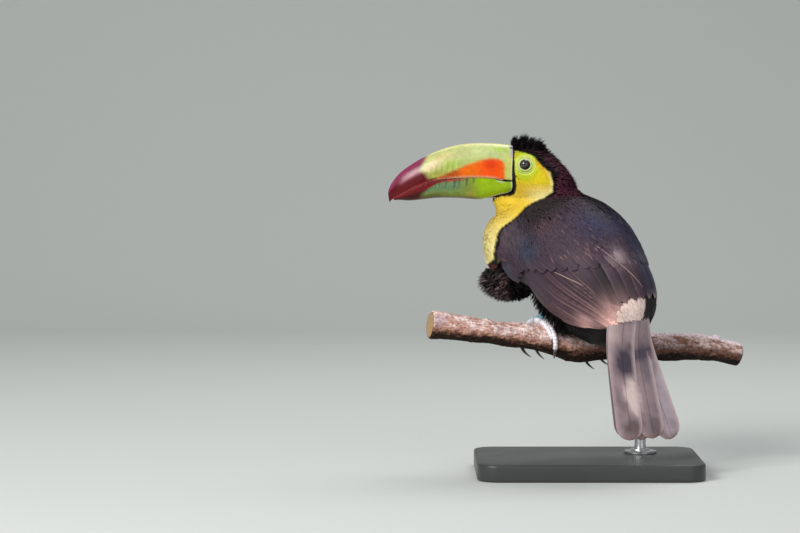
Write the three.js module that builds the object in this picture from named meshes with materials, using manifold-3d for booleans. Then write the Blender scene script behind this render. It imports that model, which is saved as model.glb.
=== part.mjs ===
// A life-size keel-billed toucan gripping a cut length of branch on a display stand.
// Millimetres, +Z up. The origin is the centre of the base plate's underside.
// The bird is worked out in a frame of its own: +X forward, +Y to its left, +Z up, with the origin
// on top of the branch between the feet.
import * as THREE from "three";
import { mergeVertices } from "three/addons/utils/BufferGeometryUtils.js";
import Module from "manifold-3d";

const wasm = await Module();
wasm.setup();

// ---------------------------------------------------------------- driving dimensions
const GAP = 0.3; // between nodes that touch
const BIRD_HEADING = 135; // degrees, from +X towards +Y
const BIRD_PLACE = [-19, 4, 150];

const TORSO_CENTRE = [-20, 0, 64];
const TORSO_PITCH = 50;
const TORSO_RADII = [92, 55, 58, 52]; // forward, sideways, dorsal, ventral
const BLEND = 12; // how softly the lumps of flesh run together

const BILL_ROOT = [58, 25, 169]; // where the bill leaves the face, on its axis
const BILL_WIDTH = 37;
const SOCKET_DEPTH = 4; // how far the bill is sunk in the face
const NOSTRIL = [5.5, 12.5, 19.5]; // out, across and up from the bill's root

const EYE_RADIUS = 6.4;
const EYE_BACK = 11.5; // behind the bill's root
const EYE_RISE = 4.6;
const EYE_SHOW = 3.1; // how far the ball stands out of the socket

const WING_LIFT = 0.6; // of the wing's underside over the torso
const WING_CORE = 3.6; // thickness of the folded arm that the feathers grow from
const VANE_THICK = 0.6;

const TAIL_ROOT = [-80, 5, 24];
const TAIL_REACH = [-29, -10, -139]; // from the root to the end of the longest feather
const TAIL_TURN = 15; // degrees that the fan is turned about the upright
const TAIL_CUT = 73; // from the torso's centre back to where the tail's node starts

const BELLY_TUFT = { from: [56, 20, 56], rows: [4, 4, 4, 3], fall: [0, 72], sweep: [-38, 28], length: 15, half: 4.4 };

const STANCE = { left: [19, 31], right: [-16, -28] }; // each foot, forward and left
const TARSUS_RADIUS = 3.1;
const TOE_RADIUS = 3.3;
const ANKLE_HEIGHT = 7.4; // of the flat between leg and foot, over the bark
const HIP = [-9, 22, 58]; // inside the belly, for the left leg
const THIGH_SWELL = 10;

const PERCH_LENGTH = 330;
const PERCH_RADIUS = 15;
const PERCH_YAW = 15;
const PERCH_SIDES = 14;
const PERCH_STEPS = 25;

const BASE_SIZE = [236, 176, 18];
const BASE_CORNER = 22;
const ROD_RADIUS = 6;
const ROD_X = 58;

// ---------------------------------------------------------------- small vector helpers
const radians = THREE.MathUtils.degToRad;
const vec = (x, y, z) => new THREE.Vector3(x, y, z);
const lerp = THREE.MathUtils.lerp;
const smooth = (x, a, b) => THREE.MathUtils.smoothstep(x, a, b);

// Three unit axes, forward, left and up, of a piece turned by yaw and pitch degrees.
function axesOf(yaw, pitch) {
  const y = radians(yaw);
  const p = radians(pitch);
  const forward = vec(Math.cos(y) * Math.cos(p), Math.sin(y) * Math.cos(p), Math.sin(p));
  const left = vec(-Math.sin(y), Math.cos(y), 0);
  return [forward, left, forward.clone().cross(left)];
}

function along(origin, axes, a, b, c) {
  return origin.clone().addScaledVector(axes[0], a).addScaledVector(axes[1], b).addScaledVector(axes[2], c);
}

// A seeded number from 0 to 1, for small differences between like pieces.
function chance(seed) {
  const x = Math.sin(seed * 127.1 + 11.7) * 43758.5453;
  return x - Math.floor(x);
}

// ---------------------------------------------------------------- the flesh as one smooth field
const HEAD_AXES = axesOf(45, -4);
// Rows of the crest: how far behind the bill's root, and how many feathers over what half width.
const CREST_ROWS = [
  { back: 1.5, count: 3, spread: 4.5, length: 15 },
  { back: 4.5, count: 4, spread: 6, length: 17.5 },
  { back: 8, count: 3, spread: 4.5, length: 18 },
  { back: 12, count: 3, spread: 6, length: 16.5 },
  { back: 16.5, count: 2, spread: 4, length: 15 },
  { back: 22, count: 2, spread: 3, length: 13 },
];
const LUMPS = [
  { at: TORSO_CENTRE, radii: TORSO_RADII, axes: axesOf(0, TORSO_PITCH) },
  { at: [-74, 0, 42], radii: [34, 28, 25, 25], axes: axesOf(0, 60) },
  { at: [44, 7, 92], radii: [50, 50, 46, 46], axes: axesOf(0, 50) },
  { at: [36, 7, 134], radii: [42, 34, 45, 42], axes: axesOf(0, 70) },
  { at: [33, 4, 152], radii: [28, 24, 25, 25], axes: axesOf(0, 55) },
  { at: [48, 15, 167.5], radii: [33, 23, 27, 30], axes: axesOf(45, 6) },
  { at: [60, 27, 140], radii: [22, 17, 9, 16], axes: axesOf(45, 20) },
  { at: [66, 24, 50], radii: [27, 21, 18, 17], axes: axesOf(34, 8) },
].map((l) => ({ ...l, at: vec(...l.at) }));

// Roughly the distance in millimetres from a point to a lump's surface, less than 0 inside.
function lumpField(lump, p) {
  const d = p.clone().sub(lump.at);
  const q = lump.axes.map((axis) => d.dot(axis));
  const r = lump.radii;
  const radii = [r[0], r[1], q[2] > 0 ? r[2] : r[3]];
  const near = Math.hypot(q[0] / radii[0], q[1] / radii[1], q[2] / radii[2]);
  const slope = Math.hypot(q[0] / radii[0] ** 2, q[1] / radii[1] ** 2, q[2] / radii[2] ** 2);
  return (near * (near - 1)) / (slope + 1e-9);
}

function blend(a, b, width) {
  const h = THREE.MathUtils.clamp(0.5 + (0.5 * (b - a)) / width, 0, 1);
  return lerp(b, a, h) - width * h * (1 - h);
}

function flesh(p) {
  return LUMPS.map((lump) => lumpField(lump, p)).reduce((a, b) => blend(a, b, BLEND));
}

function fleshNormal(p, step = 0.5) {
  const slope = ["x", "y", "z"].map((axis) => {
    const a = p.clone();
    const b = p.clone();
    a[axis] += step;
    b[axis] -= step;
    return flesh(a) - flesh(b);
  });
  return vec(...slope).normalize();
}

// From a point inside, the first place along a direction where the field reaches a level.
function castOut(from, direction, level, farthest) {
  let travelled = 0;
  for (let i = 0; i < 60; i++) {
    const here = flesh(from.clone().addScaledVector(direction, travelled)) - level;
    if (Math.abs(here) < 0.01) break;
    travelled = Math.min(farthest, travelled - here * 0.85);
  }
  return from.clone().addScaledVector(direction, travelled);
}

// A point over the torso: t degrees back from the neck's pole, side degrees round from the back,
// positive to the left, and lift millimetres clear of the flesh.
const TORSO_AXES = LUMPS[0].axes;
function overTorso(t, side, lift) {
  const a = radians(t);
  const b = radians(side);
  const [long, wide, high, low] = TORSO_RADII;
  const depth = Math.cos(b) > 0 ? high : low;
  const reach = [Math.cos(a) * long, Math.sin(a) * Math.sin(b) * wide, Math.sin(a) * Math.cos(b) * depth];
  const p = along(LUMPS[0].at, TORSO_AXES, ...reach);
  for (let i = 0; i < 7; i++) p.addScaledVector(fleshNormal(p), lift - flesh(p));
  return p;
}

// ---------------------------------------------------------------- closed meshes
// A closed mesh through rings of points, each ring in the same order, with a point for each end.
function loft(rings) {
  const sides = rings[0].length;
  const positions = [];
  const faces = [];
  rings.forEach((ring) => ring.forEach((p) => positions.push(p.x, p.y, p.z)));
  for (let r = 0; r + 1 < rings.length; r++)
    for (let i = 0; i < sides; i++) {
      const a = r * sides + i;
      const b = r * sides + ((i + 1) % sides);
      faces.push(a, b, b + sides, a, b + sides, a + sides);
    }
  [0, rings.length - 1].forEach((r, last) => {
    const centre = positions.length / 3;
    const middle = rings[r].reduce((sum, p) => sum.add(p), vec(0, 0, 0)).divideScalar(sides);
    positions.push(middle.x, middle.y, middle.z);
    for (let i = 0; i < sides; i++) {
      const a = r * sides + i;
      const b = r * sides + ((i + 1) % sides);
      faces.push(...(last ? [a, b, centre] : [b, a, centre]));
    }
  });
  const geometry = new THREE.BufferGeometry();
  geometry.setAttribute("position", new THREE.Float32BufferAttribute(positions, 3));
  geometry.setIndex(faces);
  return geometry;
}

// A closed thin sheet between two grids of points, split into triangles alike on both faces.
function sheet(top, bottom) {
  const rows = top.length;
  const columns = top[0].length;
  const positions = [];
  const faces = [];
  [top, bottom].forEach((grid) => grid.flat().forEach((p) => positions.push(p.x, p.y, p.z)));
  const under = rows * columns;
  const at = (i, j) => i * columns + j;
  const quad = (a, b, c, d) => faces.push(a, b, c, a, c, d);
  for (let i = 0; i + 1 < rows; i++)
    for (let j = 0; j + 1 < columns; j++) {
      const [a, b, c, d] = [at(i, j), at(i, j + 1), at(i + 1, j + 1), at(i + 1, j)];
      quad(a, b, c, d);
      faces.push(under + c, under + b, under + a, under + d, under + c, under + a);
    }
  const wall = (a, b) => quad(b, a, under + a, under + b);
  for (let i = 0; i + 1 < rows; i++) {
    wall(at(i + 1, 0), at(i, 0));
    wall(at(i, columns - 1), at(i + 1, columns - 1));
  }
  for (let j = 0; j + 1 < columns; j++) {
    wall(at(0, j), at(0, j + 1));
    wall(at(rows - 1, j + 1), at(rows - 1, j));
  }
  const geometry = new THREE.BufferGeometry();
  geometry.setAttribute("position", new THREE.Float32BufferAttribute(positions, 3));
  geometry.setIndex(faces);
  return geometry;
}

function solid(geometry) {
  const bare = geometry.clone();
  bare.deleteAttribute("normal");
  bare.deleteAttribute("uv");
  const merged = mergeVertices(bare, 1e-4);
  const make = (triVerts) =>
    new wasm.Manifold(
      new wasm.Mesh({ numProp: 3, vertProperties: merged.attributes.position.array, triVerts }),
    );
  const faces = new Uint32Array(merged.index.array);
  const made = make(faces);
  if (made.volume() > 0) return made;
  for (let i = 0; i < faces.length; i += 3) [faces[i], faces[i + 1]] = [faces[i + 1], faces[i]];
  return make(faces);
}

const join = (solids) => solids.reduce((a, b) => a.add(b));

function largest(made) {
  return made.decompose().sort((a, b) => b.volume() - a.volume())[0];
}

function geometryOf(made) {
  const mesh = made.getMesh();
  const positions = new Float32Array(mesh.numVert * 3);
  for (let i = 0; i < mesh.numVert; i++)
    positions.set(mesh.vertProperties.subarray(i * mesh.numProp, i * mesh.numProp + 3), i * 3);
  const geometry = new THREE.BufferGeometry();
  geometry.setAttribute("position", new THREE.BufferAttribute(positions, 3));
  geometry.setIndex(new THREE.BufferAttribute(mesh.triVerts, 1));
  return geometry;
}

// The half of space on the far side of a plane, as a block to cut with.
function beyond(point, normal) {
  const size = 700;
  const block = new THREE.BoxGeometry(size, size, size);
  block.translate(0, 0, size / 2);
  block.applyQuaternion(new THREE.Quaternion().setFromUnitVectors(vec(0, 0, 1), normal));
  block.translate(point.x, point.y, point.z);
  return solid(block);
}

// The flesh seen from a point inside it, in rings about an axis, out to a level of the field.
function fleshBlob({ centre, axes, rings, sides, level = 0, farthest = 95 }) {
  const ringAt = (angle) => {
    const loop = [];
    for (let i = 0; i < sides; i++) {
      const b = (2 * Math.PI * (i + 0.5)) / sides;
      const direction = axes[0]
        .clone()
        .multiplyScalar(Math.cos(angle))
        .addScaledVector(axes[1], Math.sin(angle) * Math.sin(b))
        .addScaledVector(axes[2], Math.sin(angle) * Math.cos(b));
      loop.push(castOut(centre, direction, level, farthest));
    }
    return loop;
  };
  const loops = [];
  for (let r = 1; r < rings; r++) loops.push(ringAt((Math.PI * r) / rings));
  return solid(loft(loops));
}

// A tube of changing radius along a path, with its ends closed.
function tube(path, radiusAt, sides, squash = 1) {
  const rings = path.map((p, i) => {
    const before = path[Math.max(0, i - 1)];
    const after = path[Math.min(path.length - 1, i + 1)];
    const ahead = after.clone().sub(before).normalize();
    const side = vec(0.13, 0.27, 0.95).cross(ahead).normalize();
    const up = ahead.clone().cross(side);
    const radius = radiusAt(i / (path.length - 1), i);
    const ring = [];
    for (let k = 0; k < sides; k++) {
      const a = (2 * Math.PI * k) / sides;
      ring.push(
        p
          .clone()
          .addScaledVector(side, Math.cos(a) * radius)
          .addScaledVector(up, Math.sin(a) * radius * squash),
      );
    }
    return ring;
  });
  return loft(rings);
}

const curve = (points) => new THREE.CatmullRomCurve3(points.map((p) => vec(...p)), false, "centripetal");

// ---------------------------------------------------------------- head and bill
const BILL_AXES = axesOf(45, 0);
const billPoint = (out, across, up) => along(vec(...BILL_ROOT), BILL_AXES, out, across, up);

// Side outlines of the bill as millimetres out from its root and up from its axis.
const CULMEN = [[-SOCKET_DEPTH, 23.5], [1.5, 24.6], [32, 27], [57, 25.3], [81, 18.6], [104, 7.2], [122, -6.2], [131.8, -22], [131.3, -34]];
const TOMIUM = [[-SOCKET_DEPTH, -11.5], [1.5, -11.2], [32, -8.6], [57, -8.9], [81, -11.5], [104, -19.5], [119, -27.4], [128, -31.8], [130.6, -34.4]];
const GONYS = [[9, -22.6], [18, -29], [36, -31.6], [57, -30.4], [81, -30.2], [98, -32], [110, -33], [121, -32.4], [126, -32.6]];
const LOWER_TOMIUM = [[-SOCKET_DEPTH, -12.4], [8, -11.9], [32, -9.5], [57, -9.8], [81, -12.4], [100, -18.9], [110, -23.6], [120, -29], [125.6, -31.6]];
const BILL_STATIONS = 17;

const flatCurve = (points) => new THREE.CatmullRomCurve3(points.map(([u, w]) => vec(u, 0, w)), false, "centripetal");

function billWidth(out) {
  const s = THREE.MathUtils.clamp(out / 131, 0, 1);
  return (BILL_WIDTH / 2) * (1 - 0.16 * s) * Math.sqrt(Math.max(0.02, 1 - s ** 3.2));
}

// One half of the bill, between its ridge line and its cutting edge.
function mandible(ridge, edge, swell, sides) {
  const ridgeLine = flatCurve(ridge);
  const edgeLine = flatCurve(edge);
  const rings = [];
  for (let i = 0; i <= BILL_STATIONS; i++) {
    const s = i / BILL_STATIONS;
    const top = ridgeLine.getPoint(s);
    const foot = edgeLine.getPoint(s);
    const half = billWidth((top.x + foot.x) / 2) + swell;
    const rise = top.clone().sub(foot);
    const height = rise.length();
    rise.normalize();
    const ring = [];
    for (let k = 0; k < sides; k++) {
      const a = (Math.PI * k) / (sides - 1);
      const up = Math.sin(a) ** 0.85 * (height + swell) - swell * 0.2;
      const across = Math.sign(Math.cos(a)) * Math.abs(Math.cos(a)) ** 0.72 * half;
      const p = foot.clone().addScaledVector(rise, up);
      ring.push(billPoint(p.x + (i ? 0 : -swell), across, p.z));
    }
    rings.push(ring);
  }
  return solid(loft(rings));
}

// An ellipsoid set in the bill's frame.
function billPit(place, radii) {
  const pit = new THREE.SphereGeometry(1, 7, 5);
  pit.scale(...radii);
  pit.rotateZ(radians(45));
  const at = billPoint(...place);
  pit.translate(at.x, at.y, at.z);
  return solid(pit);
}

const upperMandible = (swell) => mandible(CULMEN, TOMIUM, swell, 13);
const lowerMandible = (swell) => mandible(GONYS, LOWER_TOMIUM, swell, 11);

// The upper half with the two nostrils sunk behind its swollen base.
function makeUpperBill() {
  const nostrils = [-1, 1].map((side) => billPit([NOSTRIL[0], side * NOSTRIL[1], NOSTRIL[2]], [2.6, 1.2, 1.5]));
  return upperMandible(0).subtract(join(nostrils));
}

// ---------------------------------------------------------------- planes between the nodes of flesh
const HEAD_CENTRE = vec(44, 11, 168);
const NECK_CENTRE = vec(34, 7, 134);
const HEAD_PLANE = { at: vec(38, 8, 144), normal: vec(0.19, 0.19, 0.96).normalize() };
const FACE_PLANE = { at: billPoint(1.5, 0, 0), normal: BILL_AXES[0] };
const CHIN_PLANE = { at: billPoint(1.5, 0, -21), normal: along(vec(0, 0, 0), BILL_AXES, 0.47, 0, 0.88) };
const NECK_PLANE = { at: vec(17, 4, 120), normal: vec(0.25, 0.2, 0.94).normalize() };
const TAIL_PLANE = {
  at: along(vec(...TORSO_CENTRE), TORSO_AXES, -TAIL_CUT, 0, 0),
  normal: TORSO_AXES[0].clone().negate(),
};

function cut(made, plane, shift, flip = 1) {
  const normal = plane.normal.clone().multiplyScalar(flip);
  return made.subtract(beyond(plane.at.clone().addScaledVector(normal, shift), normal));
}

function torsoBlob(level = 0) {
  const centre = vec(-14, 0, 68);
  return fleshBlob({ centre, axes: TORSO_AXES, rings: 20, sides: 26, level, farthest: 110 });
}

// The fluffed black feathers that stand out under the bib, in rows from the front round to below.
function bellyTuft() {
  const { from, rows, fall, sweep, length, half } = BELLY_TUFT;
  const centre = vec(...from);
  const locks = [];
  rows.forEach((count, r) => {
    const down = radians(lerp(...fall, r / (rows.length - 1)));
    for (let i = 0; i < count; i++) {
      const yaw = radians(45 + lerp(...sweep, (i + 0.5 * (r % 2)) / (count - 0.5)));
      const out = vec(Math.cos(yaw) * Math.cos(down), Math.sin(yaw) * Math.cos(down), -Math.sin(down));
      const root = castOut(centre, out, -3, 60);
      const lean = vec(0.5, 0.5, 0.7 - 0.5 * r).normalize();
      locks.push(lock({ root, out, lean, length: length * (0.8 + 0.4 * chance(31 * r + i)), half, bend: 0.45 }));
    }
  });
  return locks;
}

function makeTorso() {
  const body = cut(cut(torsoBlob(), NECK_PLANE, -GAP / 2), TAIL_PLANE, -GAP / 2);
  return largest(join([body, ...bellyTuft()]));
}

function makeNeck() {
  const blob = fleshBlob({ centre: NECK_CENTRE, axes: axesOf(0, 90), rings: 16, sides: 24, farthest: 70 });
  return largest(cut(cut(blob, HEAD_PLANE, -GAP / 2), NECK_PLANE, -GAP / 2, -1));
}

function eyePlace(side) {
  const inner = billPoint(-EYE_BACK, 0, EYE_RISE);
  const outward = BILL_AXES[1].clone().multiplyScalar(side);
  const skin = castOut(inner, outward, 0, 60);
  return { centre: skin.clone().addScaledVector(outward, EYE_SHOW - EYE_RADIUS), outward, skin };
}

function eyeBall(side, radius) {
  const { centre } = eyePlace(side);
  const ball = new THREE.SphereGeometry(radius, 12, 8);
  ball.translate(centre.x, centre.y, centre.z);
  return solid(ball);
}

// The lid: a ring of bare skin round the ball.
function lidRing(side) {
  const { skin, outward } = eyePlace(side);
  const ring = new THREE.TorusGeometry(EYE_RADIUS + 0.5, 1.7, 5, 16);
  ring.applyQuaternion(new THREE.Quaternion().setFromUnitVectors(vec(0, 0, 1), outward));
  const at = skin.clone().addScaledVector(outward, 0.4);
  ring.translate(at.x, at.y, at.z);
  return solid(ring);
}

// A flat tapered lock from a root under the skin, bending from one direction to another and turned
// about its own line.
function lock({ root, out, lean, length, half, turn = 0, bend = 0.3 }) {
  const across = out.clone().cross(lean).normalize().applyAxisAngle(out, turn);
  const shares = [0, 0.45, 1];
  const widths = [0.9, 1, 0.14];
  const grid = (face) =>
    shares.map((share, i) => {
      const p = root.clone().addScaledVector(out, length * share * (1 - 0.4 * share));
      p.addScaledVector(lean, length * bend * share * share);
      const ahead = out.clone().addScaledVector(lean, 2 * bend * share).normalize();
      const thick = face * lerp(0.8, 0.3, share);
      const away = across.clone().cross(ahead).normalize();
      return [-1, 1].map((w) => p.clone().addScaledVector(across, w * half * widths[i]).addScaledVector(away, thick));
    });
  return solid(sheet(grid(1), grid(-1)));
}

// The upright crest over the forehead, feather by feather in rows from front to back.
function crest() {
  const locks = [];
  CREST_ROWS.forEach(({ back, count, spread, length }, r) => {
    for (let i = 0; i < count; i++) {
      const w = count > 1 ? (2 * i) / (count - 1) - 1 : 0;
      const inside = billPoint(-back, w * spread, 4);
      const up = along(vec(0, 0, 0), BILL_AXES, 0.06 - 0.02 * back, w * 0.3, 1).normalize();
      const root = castOut(inside, up, -2.5, 60);
      const lean = along(vec(0, 0, 0), BILL_AXES, -1, w * 0.2, 0.1).normalize();
      const size = length * (0.88 + 0.24 * chance(7 * r + i));
      const turn = Math.PI / 2 - 0.9 * w + 0.4 * chance(3 * r + i);
      locks.push(lock({ root, out: up, lean, length: size, half: 2.4, turn }));
    }
  });
  return locks;
}

function makeHead() {
  const blob = fleshBlob({ centre: HEAD_CENTRE, axes: HEAD_AXES, rings: 16, sides: 22, farthest: 60 });
  let head = join([cut(blob, HEAD_PLANE, -GAP / 2, -1), ...crest()]);
  [-1, 1].forEach((side) => (head = head.add(lidRing(side))));
  [-1, 1].forEach((side) => (head = head.subtract(eyeBall(side, EYE_RADIUS + GAP))));
  head = head.subtract(upperMandible(GAP)).subtract(lowerMandible(GAP));
  [-1, 1].forEach((side) => (head = head.subtract(billPit([0, side * 19, -11.5], [6, 3, 0.9]))));
  const face = beyond(FACE_PLANE.at, FACE_PLANE.normal).intersect(beyond(CHIN_PLANE.at, CHIN_PLANE.normal));
  return largest(head.subtract(face));
}

// ---------------------------------------------------------------- feathers
// Half the width of a feather at a share of its length: narrow at the root, round or pointed at the end.
const ROUND_END = [[0, 0.4], [0.33, 0.95], [0.82, 1], [1, 0.42]];
const BLUNT_END = [[0, 0.4], [0.33, 0.95], [0.9, 1], [1, 0.6]];
const POINTED_END = [[0, 0.4], [0.27, 0.95], [0.54, 1], [0.8, 0.8], [1, 0.16]];

// One feather: place(share, across, out) gives a point of it, across in millimetres from its shaft and
// out in millimetres from the middle of its thickness.
function feather(outline, half, place) {
  const grid = (face) =>
    outline.map(([share, width]) => {
      const out = face * (VANE_THICK / 2) * (1 - 0.35 * share);
      return [-1, 1].map((w) => place(share, w * half * width, out));
    });
  return solid(sheet(grid(1), grid(-1)));
}

// Moves a point along the flesh's normal to a height over it.
function settle(p, height) {
  for (let i = 0; i < 4; i++) p.addScaledVector(fleshNormal(p), height - flesh(p));
  return p;
}

// A feather that lies over the torso, from root to tip, each [t, side, height], its outer edge the higher.
// The hand is 1 on the left wing and -1 on the right.
function torsoFeather({ outline, root, tip, half, hand, tilt = WING_TILT, sag = 0.35 }) {
  const height = (share) => lerp(root[2], tip[2], smooth(share, 0, sag));
  const shaft = (share) => overTorso(lerp(root[0], tip[0], share), hand * lerp(root[1], tip[1], share), height(share));
  return feather(outline, half, (share, across, out) => {
    const p = shaft(share);
    const ahead = shaft(Math.min(1, share + 0.05)).sub(shaft(Math.max(0, share - 0.05))).normalize();
    const outward = ahead.clone().cross(fleshNormal(p));
    return settle(p.addScaledVector(outward, hand * across), height(share) + across * tilt + out);
  });
}

// ---------------------------------------------------------------- wings
// Rows of feathers, each evenly spaced from the first to the last: [t, side, height] of root and tip.
const WING_TILT = 0.12; // millimetres of height for each millimetre across a flight feather
const WING_ROWS = [
  { name: "primaries", count: 5, half: 7.2, outline: POINTED_END,
    first: [[70, 135, 2.2], [137, 98, 2.6]], last: [[76, 112, 2.4], [148, 68, 4.5]] },
  { name: "secondaries", count: 4, half: 8.5, outline: POINTED_END,
    first: [[77, 106, 2.4], [147, 60, 4.9]], last: [[74, 66, 2.6], [138, 38, 6]] },
  { name: "tertials", count: 3, half: 8.5, outline: ROUND_END,
    first: [[73, 58, 2.8], [133, 50, 6.3]], last: [[70, 24, 2.8], [127, 17, 6.6]] },
  { name: "greater_coverts", count: 6, half: 8.8, outline: ROUND_END, sag: 0.3, tilt: 0.06,
    first: [[62, 137, 2.4], [97, 118, 6]], last: [[66, 42, 2.4], [106, 28, 9.6]] },
  { name: "median_coverts", count: 5, half: 9.8, outline: ROUND_END, sag: 0.3, tilt: 0.06,
    first: [[46, 132, 2.2], [77, 129, 8.2]], last: [[50, 50, 2.2], [85, 40, 11.8]] },
];

const between = (a, b, s) => a.map((x, i) => lerp(x, b[i], s));

// A sheet over the torso's side in the outline of the folded arm, between two heights.
function overArm(hand, lowAt, highAt) {
  const grid = (heightAt) =>
    Array.from({ length: 9 }, (_, i) => {
      const s = i / 8;
      const t = lerp(42, 92, s);
      const inner = lerp(34, 12, smooth(s, 0, 0.35));
      const outer = lerp(112, 144, smooth(s, 0, 0.3)) - 16 * smooth(s, 0.6, 1);
      const at = (w) => overTorso(t, hand * lerp(inner, outer, w), heightAt(s, w));
      return Array.from({ length: 10 }, (_, j) => at(j / 9));
    });
  return solid(sheet(grid(highAt), grid(lowAt)));
}

// The folded arm that the feathers grow from, thick in front and thin behind.
function wingCore(hand) {
  const lowAt = (s) => WING_LIFT + 1.9 * (1 - smooth(s, 0, 0.6));
  const highAt = (s, w) => {
    const round = Math.sin(Math.PI * w) ** 0.4 * Math.min(1, 0.25 + 4 * s);
    return lowAt(s) + 0.8 + (WING_CORE - 0.8) * round * (1 - smooth(s, 0.72, 1));
  };
  return overArm(hand, lowAt, highAt);
}

function makeWing(hand) {
  const feathers = WING_ROWS.flatMap((row, r) =>
    Array.from({ length: row.count }, (_, i) => {
      const s = i / (row.count - 1);
      const [root, tip] = [0, 1].map((end) => between(row.first[end], row.last[end], s));
      tip[0] += 2.4 * (chance(10 * r + i) - 0.5);
      return torsoFeather({ ...row, root, tip, hand });
    }),
  );
  const middle = { at: vec(0, hand * GAP, 0), normal: vec(0, -hand, 0) };
  const wing = cut(join([wingCore(hand), ...feathers]), middle, 0);
  return largest(wing.subtract(torsoBlob(GAP)));
}

// ---------------------------------------------------------------- tail
const tailRoot = vec(...TAIL_ROOT);
const tailDown = vec(...TAIL_REACH).normalize();
const tailLeft = vec(Math.sin(radians(TAIL_TURN)), Math.cos(radians(TAIL_TURN)), 0);
tailLeft.addScaledVector(tailDown, -tailLeft.dot(tailDown)).normalize();
const TAIL_AXES = [tailDown, tailLeft, tailDown.clone().cross(tailLeft).negate()];
const tailPoint = (down, left, out) => along(tailRoot, TAIL_AXES, down, left, out);

// A feather beside the tail's middle: shafts from and to, each [down, left, out].
function tailFeather({ outline, from, to, half }) {
  const shaft = tailPoint(...to).sub(tailPoint(...from)).normalize();
  const across = shaft.clone().cross(TAIL_AXES[2]).normalize();
  return feather(outline, half, (share, side, out) =>
    tailPoint(...between(from, to, share)).addScaledVector(across, side).addScaledVector(TAIL_AXES[2], out),
  );
}

// Rows of [down, out] at root and tip, spread to both sides.
const COVERTS = [
  { count: 5, spread: 18, from: [-14, 5], to: [28, 4.6], half: 8 },
  { count: 3, spread: 11, from: [-12, 8.4], to: [12, 7.6], half: 8.5 },
  { count: 3, spread: 13, from: [4, -7], to: [58, -5.6], half: 9 },
];
// Tail feathers: how far left their shafts lie at root and end, half their width, their level in the
// stack and how much shorter than the longest they are.
const TAIL_LEVEL = 0.95; // height between one feather and the next
const TAIL_FEATHERS = [
  [3, 19, 15, 1, 0.03],
  [-3, -7, 14, 0, 0.01],
  [5, 22, 13.5, -1, 0.035],
  [-6, -17, 13.5, -1, 0.01],
  [7, 25, 13, -2, 0.045],
  [-8, -24, 13, -2, 0.015],
  [8.5, 27.5, 12.5, -3, 0.06],
  [-9.5, -29, 12.5, -3, 0.02],
  [10, 29, 12.5, -4, 0.08],
  [-10.5, -33, 12.5, -4, 0.03],
];

function makeTail() {
  const stub = cut(torsoBlob(), TAIL_PLANE, -GAP / 2, -1);
  const length = vec(...TAIL_REACH).length();
  const feathers = TAIL_FEATHERS.map(([root, end, half, level, shorter]) => {
    const from = [0, root, level * TAIL_LEVEL];
    const to = [length * (1 - shorter), end, level * TAIL_LEVEL];
    return tailFeather({ outline: BLUNT_END, from, to, half });
  });
  // The coverts that lie over and under the roots of the tail feathers.
  COVERTS.forEach(({ count, spread, from, to, half }) => {
    for (let i = 0; i < count; i++) {
      const w = (2 * i) / (count - 1) - 1;
      const rise = (i % 2) * TAIL_LEVEL;
      const root = [from[0] + 3 * w * w, w * spread * 0.75, from[1] + Math.sign(from[1]) * rise];
      const tip = [to[0] - 9 * w * w, w * spread, to[1] + Math.sign(to[1]) * rise];
      feathers.push(tailFeather({ outline: ROUND_END, from: root, to: tip, half }));
    }
  });
  return largest(cut(join([stub, ...feathers]), TAIL_PLANE, -GAP / 2, -1));
}

// ---------------------------------------------------------------- branch, legs and feet
const toBird = new THREE.Matrix4()
  .makeTranslation(...BIRD_PLACE)
  .multiply(new THREE.Matrix4().makeRotationZ(radians(BIRD_HEADING)))
  .invert();

// The branch's middle line in world millimetres, along its length from end to end.
const PERCH_LINE = new THREE.CatmullRomCurve3(
  [[-166, 159], [-113, 151.5], [-50, 142.5], [-14, 134.5], [12, 132.6], [75, 131.4], [118, 129.5], [165, 121]].map(
    ([x, z]) => vec(x, BIRD_PLACE[1] + (x - BIRD_PLACE[0]) * Math.tan(radians(PERCH_YAW)), z),
  ),
  false,
  "centripetal",
);

// The branch's radius at a share of its length and an angle round it, 0 on top.
function perchRadius(s, angle) {
  const swell = 1 - 0.22 * smooth(s, 0, 0.25) * (1 - smooth(s, 0.1, 0.4)) - 0.16 * smooth(s, 0.75, 1);
  const lump = 1.6 * Math.exp(-(((s - 0.46) / 0.05) ** 2)) * (1 - Math.cos(angle));
  const rough = 0.5 * Math.sin(23 * s + 3 * angle) + 0.35 * Math.sin(51 * s - 2 * angle + 1);
  return PERCH_RADIUS * swell * 0.97 + lump + rough;
}

// A point over the branch's bark: the angle runs from the top towards -Y, its near side.
function overPerch(s, angle, lift) {
  const middle = PERCH_LINE.getPointAt(s);
  const ahead = PERCH_LINE.getTangentAt(s);
  const near = ahead.clone().cross(vec(0, 0, 1)).normalize();
  const up = near.clone().cross(ahead);
  const radius = perchRadius(s, angle) + lift;
  return middle.addScaledVector(up, Math.cos(angle) * radius).addScaledVector(near, Math.sin(angle) * radius);
}

function perchSolid(lift) {
  const rings = [];
  for (let i = 0; i <= PERCH_STEPS; i++) {
    const ring = [];
    for (let k = 0; k < PERCH_SIDES; k++)
      ring.push(overPerch(i / PERCH_STEPS, (2 * Math.PI * k) / PERCH_SIDES, lift));
    rings.push(ring);
  }
  return solid(loft(rings));
}

// Where along the branch a foot stands, found from the foot's place beside the bird's middle.
function footShare(name) {
  const foot = vec(...STANCE[name], 0).applyMatrix4(toBird.clone().invert());
  let best = 0;
  for (let s = 0; s <= 1; s += 0.002)
    if (Math.abs(PERCH_LINE.getPointAt(s).x - foot.x) < Math.abs(PERCH_LINE.getPointAt(best).x - foot.x)) best = s;
  return best;
}

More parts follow.
